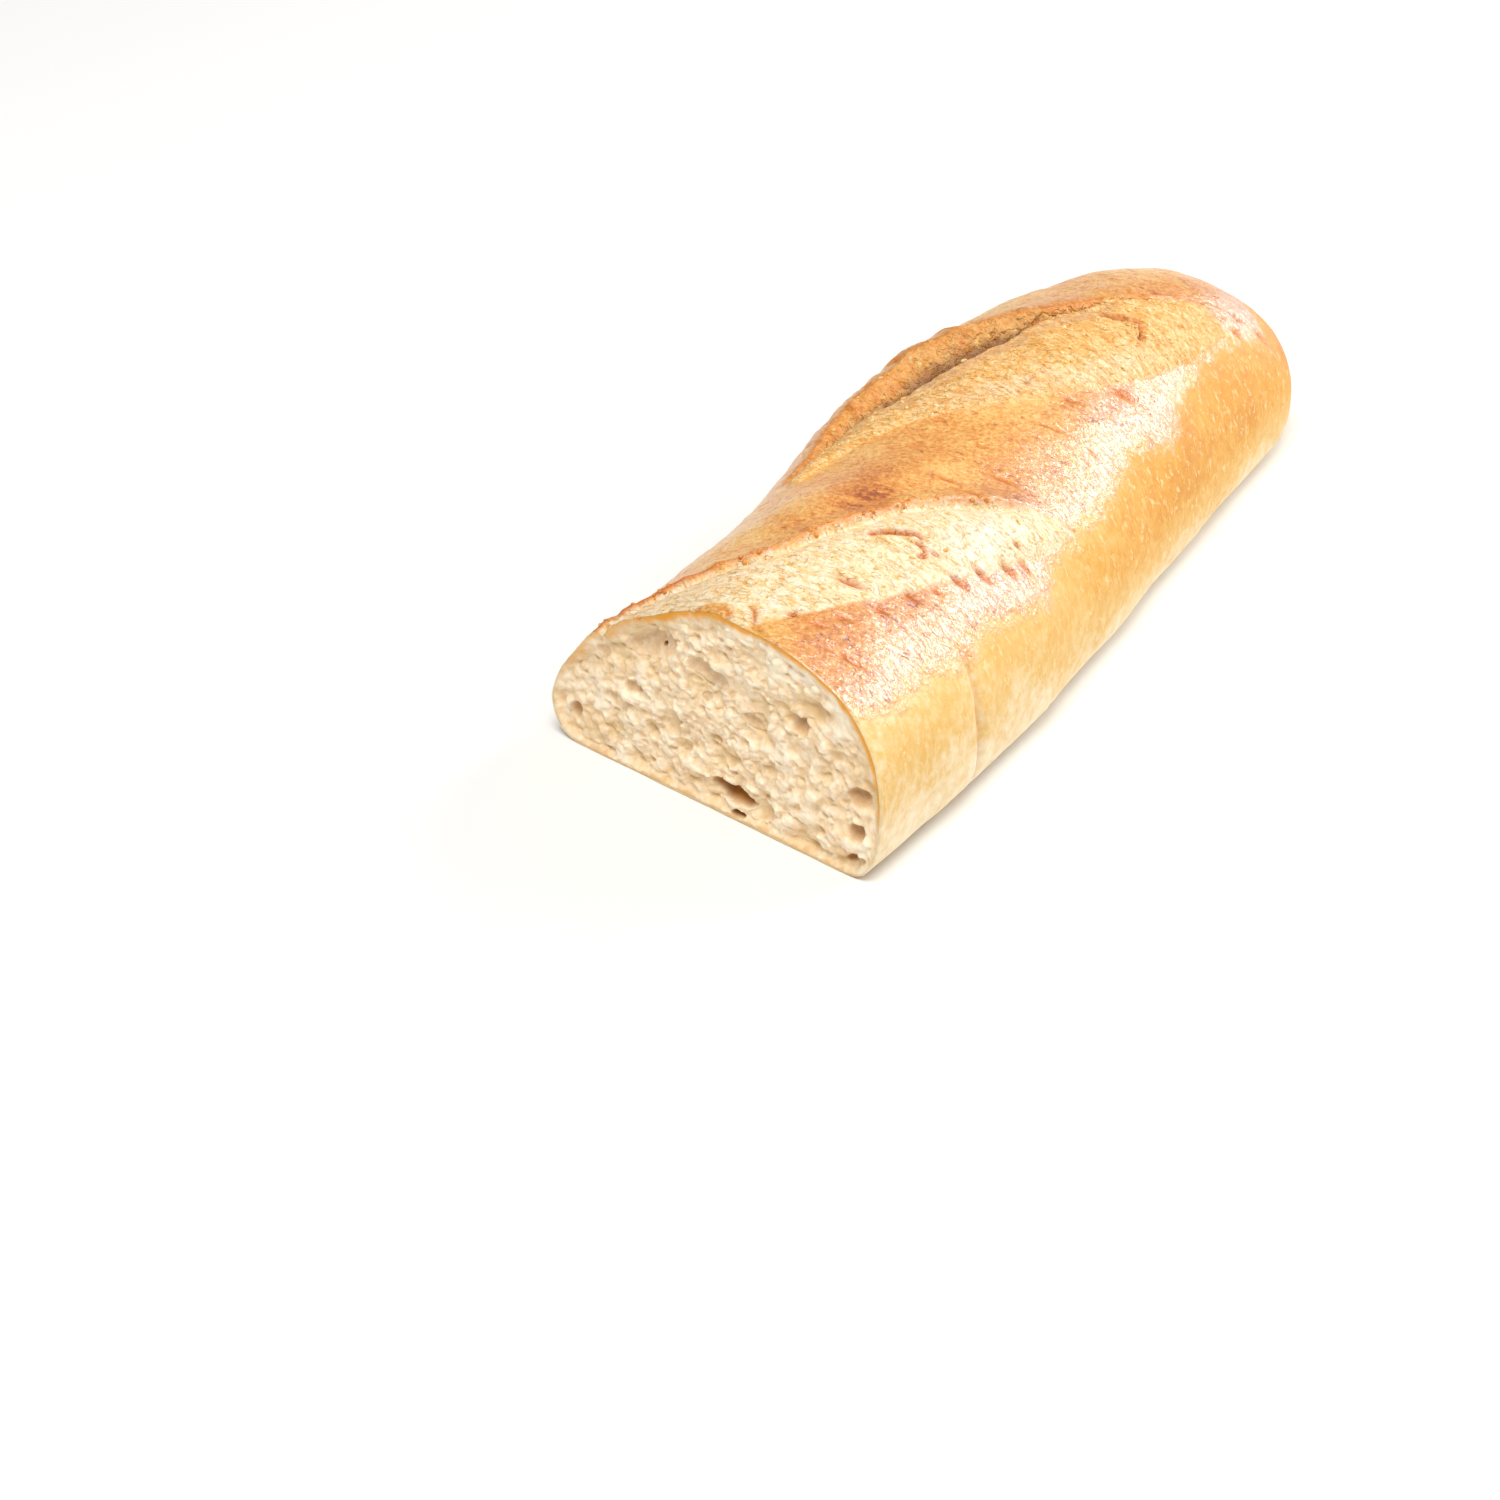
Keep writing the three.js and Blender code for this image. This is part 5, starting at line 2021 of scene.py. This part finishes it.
    def build(self, base: bpy.types.Object, material: bpy.types.Material) -> bpy.types.Object:
        """Scatters on a piece and keeps the result as a plain mesh.

        Args:
            base: the piece the shapes lie on.
            material: what they are dressed in.

        Returns:
            The new piece.
        """
        carrier = bpy.data.objects.new(self.name, base.data)
        bpy.context.scene.collection.objects.link(carrier)
        modifier = carrier.modifiers.new("scatter", "NODES")
        modifier.node_group = self.tree
        sizes = self.sizes
        for label, value in (
            ("Density", sizes.per_square_mm / METRES**2),
            ("Least", sizes.least * METRES),
            ("Most", sizes.most * METRES),
            ("Tilt", math.radians(sizes.tilt)),
            ("Rough", sizes.rough * METRES),
            ("Seed", sizes.seed),
            ("Material", material),
        ):
            modifier[self.sockets[label]] = value
        graph = bpy.context.evaluated_depsgraph_get()
        mesh = bpy.data.meshes.new_from_object(carrier.evaluated_get(graph))
        mesh.name = self.name
        places = np.empty(3 * len(mesh.vertices))
        mesh.vertices.foreach_get("co", places)
        low, high = ((np.array(corner) - BOX_MIDDLE) * METRES for corner in LoafBody.box)
        mesh.vertices.foreach_set("co", np.clip(places.reshape(-1, 3), low, high).ravel())
        carrier.modifiers.clear()
        carrier.data = mesh
        LOG.info("%s: %d faces", self.name, len(mesh.polygons))
        return carrier


@dataclass(frozen=True)
class ToastFinish:
    """Small bits of crust and dough that dried out in the oven, matt, from straw to toffee."""

    stops: Stops
    grain_mm: float = 1.4
    roughness: float = 0.6

    def material(self, name: str) -> bpy.types.Material:
        """Builds the material under a name.

        Args:
            name: the material's name.

        Returns:
            The finished material.
        """
        r = Recipe(name)
        grain = r.grain(self.grain_mm, 3.0)
        return r.finish(
            {
                "Base Color": r.ramp(grain, self.stops),
                "Roughness": self.roughness,
                "Normal": r.raised(r.grain(0.5, 2.0), 0.12, 0.6),
                "IOR": 1.45,
                "Subsurface Weight": 0.3,
                "Subsurface Radius": (1.0, 0.6, 0.3),
                "Subsurface Scale": 1.0 * METRES,
            }
        )


@dataclass(frozen=True)
class SoftBox:
    """A soft light: its way from the loaf, its width in metres, its power and its distance in metres."""

    name: str
    way: tuple[float, float, float]
    size: float
    power: float
    far: float


@dataclass(frozen=True)
class Studio:
    """Pale floor, soft lights and the camera at the photograph's angle."""

    target: tuple[float, float, float] = (23.9, 3.4, 0.0)
    distance: float = 900.7
    azimuth: float = -60.0
    elevation: float = 32.258
    lens: float = 100.0
    sensor: float = 36.0
    floor_half: float = 3.0
    floor_gap: float = 0.0002
    floor_colour: str = "#ecebe9"
    world_strength: float = 0.35
    boxes: tuple[SoftBox, ...] = (
        SoftBox("back_softbox", (0.73, -0.48, 0.46), 0.75, 12.8, 1.3),
        SoftBox("front_softbox", (-0.5, -0.15, 1.1), 0.9, 23.5, 1.6),
    )

    def camera(self) -> None:
        """Sets the camera."""
        data = bpy.data.cameras.new("camera")
        data.lens = self.lens
        data.sensor_width = self.sensor
        camera = bpy.data.objects.new("camera", data)
        bpy.context.scene.collection.objects.link(camera)
        a, e = math.radians(self.azimuth), math.radians(self.elevation)
        back = Vector((math.sin(a) * math.cos(e), -math.cos(a) * math.cos(e), math.sin(e)))
        target = Vector((np.array(self.target) - BOX_MIDDLE) * METRES)
        camera.location = target + back * self.distance * METRES
        camera.rotation_mode = "QUATERNION"
        camera.rotation_quaternion = (-back).to_track_quat("-Z", "Y")
        data.clip_start = 0.01
        bpy.context.scene.camera = camera

    def light(self, box: SoftBox) -> None:
        """Adds one soft box that faces the loaf.

        Args:
            box: its place, size and power.
        """
        data = bpy.data.lights.new(box.name, "AREA")
        data.shape = "SQUARE"
        data.size = box.size
        data.energy = box.power
        lamp = bpy.data.objects.new(box.name, data)
        bpy.context.scene.collection.objects.link(lamp)
        lamp.location = Vector(box.way).normalized() * box.far
        lamp.rotation_mode = "QUATERNION"
        lamp.rotation_quaternion = Vector(box.way).to_track_quat("Z", "Y")

    def floor(self) -> None:
        """Adds the pale floor."""
        half, low = self.floor_half, -self.floor_gap
        mesh = bpy.data.meshes.new("floor")
        corners = [(-half, -half, low), (half, -half, low), (half, half, low), (-half, half, low)]
        mesh.from_pydata(corners, [], [(0, 1, 2, 3)])
        floor = bpy.data.objects.new("floor", mesh)
        bpy.context.scene.collection.objects.link(floor)
        made = bpy.data.materials.new("pale_paper")
        made.use_nodes = True
        shader = made.node_tree.nodes["Principled BSDF"]
        shader.inputs["Base Color"].default_value = linear(self.floor_colour)
        shader.inputs["Roughness"].default_value = 0.9
        mesh.materials.append(made)
        floor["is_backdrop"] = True

    def build(self) -> None:
        """Builds the whole studio."""
        self.camera()
        for box in self.boxes:
            self.light(box)
        self.floor()
        world = bpy.data.worlds.new("studio")
        world.use_nodes = True
        background = world.node_tree.nodes["Background"]
        background.inputs["Color"].default_value = linear("#ffffff")
        background.inputs["Strength"].default_value = self.world_strength
        bpy.context.scene.world = world
        bpy.context.scene.view_settings.view_transform = "Standard"


def hand_over(piece: bpy.types.Object, material: bpy.types.Material | None = None) -> None:
    """Dresses a finished piece where it has no material yet, and ties it to the frame.

    Args:
        piece: the finished piece.
        material: what it is dressed in.
    """
    if material is not None:
        piece.data.materials.append(material)
    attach(piece, BODY)
    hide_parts(NODE)
    LOG.info("%s: %d points", piece.name, len(piece.data.vertices))


def main() -> None:
    """Builds the loaf's pieces in order."""
    logging.basicConfig(level=logging.INFO)
    cad_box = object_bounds()
    Studio().build()
    crust_finish, crumb_finish = CrustFinish().material(), CrumbFinish().material()
    crust = Crust()
    shell, outline = crust.build()
    hand_over(shell, crust_finish)
    plug = Crumb(body=crust.body, rim=crust.rim).build(outline)
    hand_over(plug, crumb_finish)
    pale = ToastFinish(((0.3, "#cf9247"), (0.5, "#e6bb77"), (0.7, "#f2dcae"))).material("dried_dough_flakes")
    brown = ToastFinish(((0.3, "#b96a28"), (0.55, "#d68f3e"), (0.75, "#e8b165"))).material("toasted_beads")
    for name, finish, sizes in (
        ("dough_flakes", pale, ScatterSizes(Shape.FLAKE, "flakes", 0.25, 0.3, 0.9, 28, 3)),
        ("lip_beads", brown, ScatterSizes(Shape.BEAD, "beads", 0.35, 0.3, 0.75, 60, 5, 0.5)),
    ):
        hand_over(Scatter(name, sizes).build(shell, finish))
    sizes = {"cad": [list(v) for v in cad_box], "visual": [list(v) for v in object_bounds()]}
    LOG.info("boxes: %s", sizes)


if __name__ == "__main__":
    main()
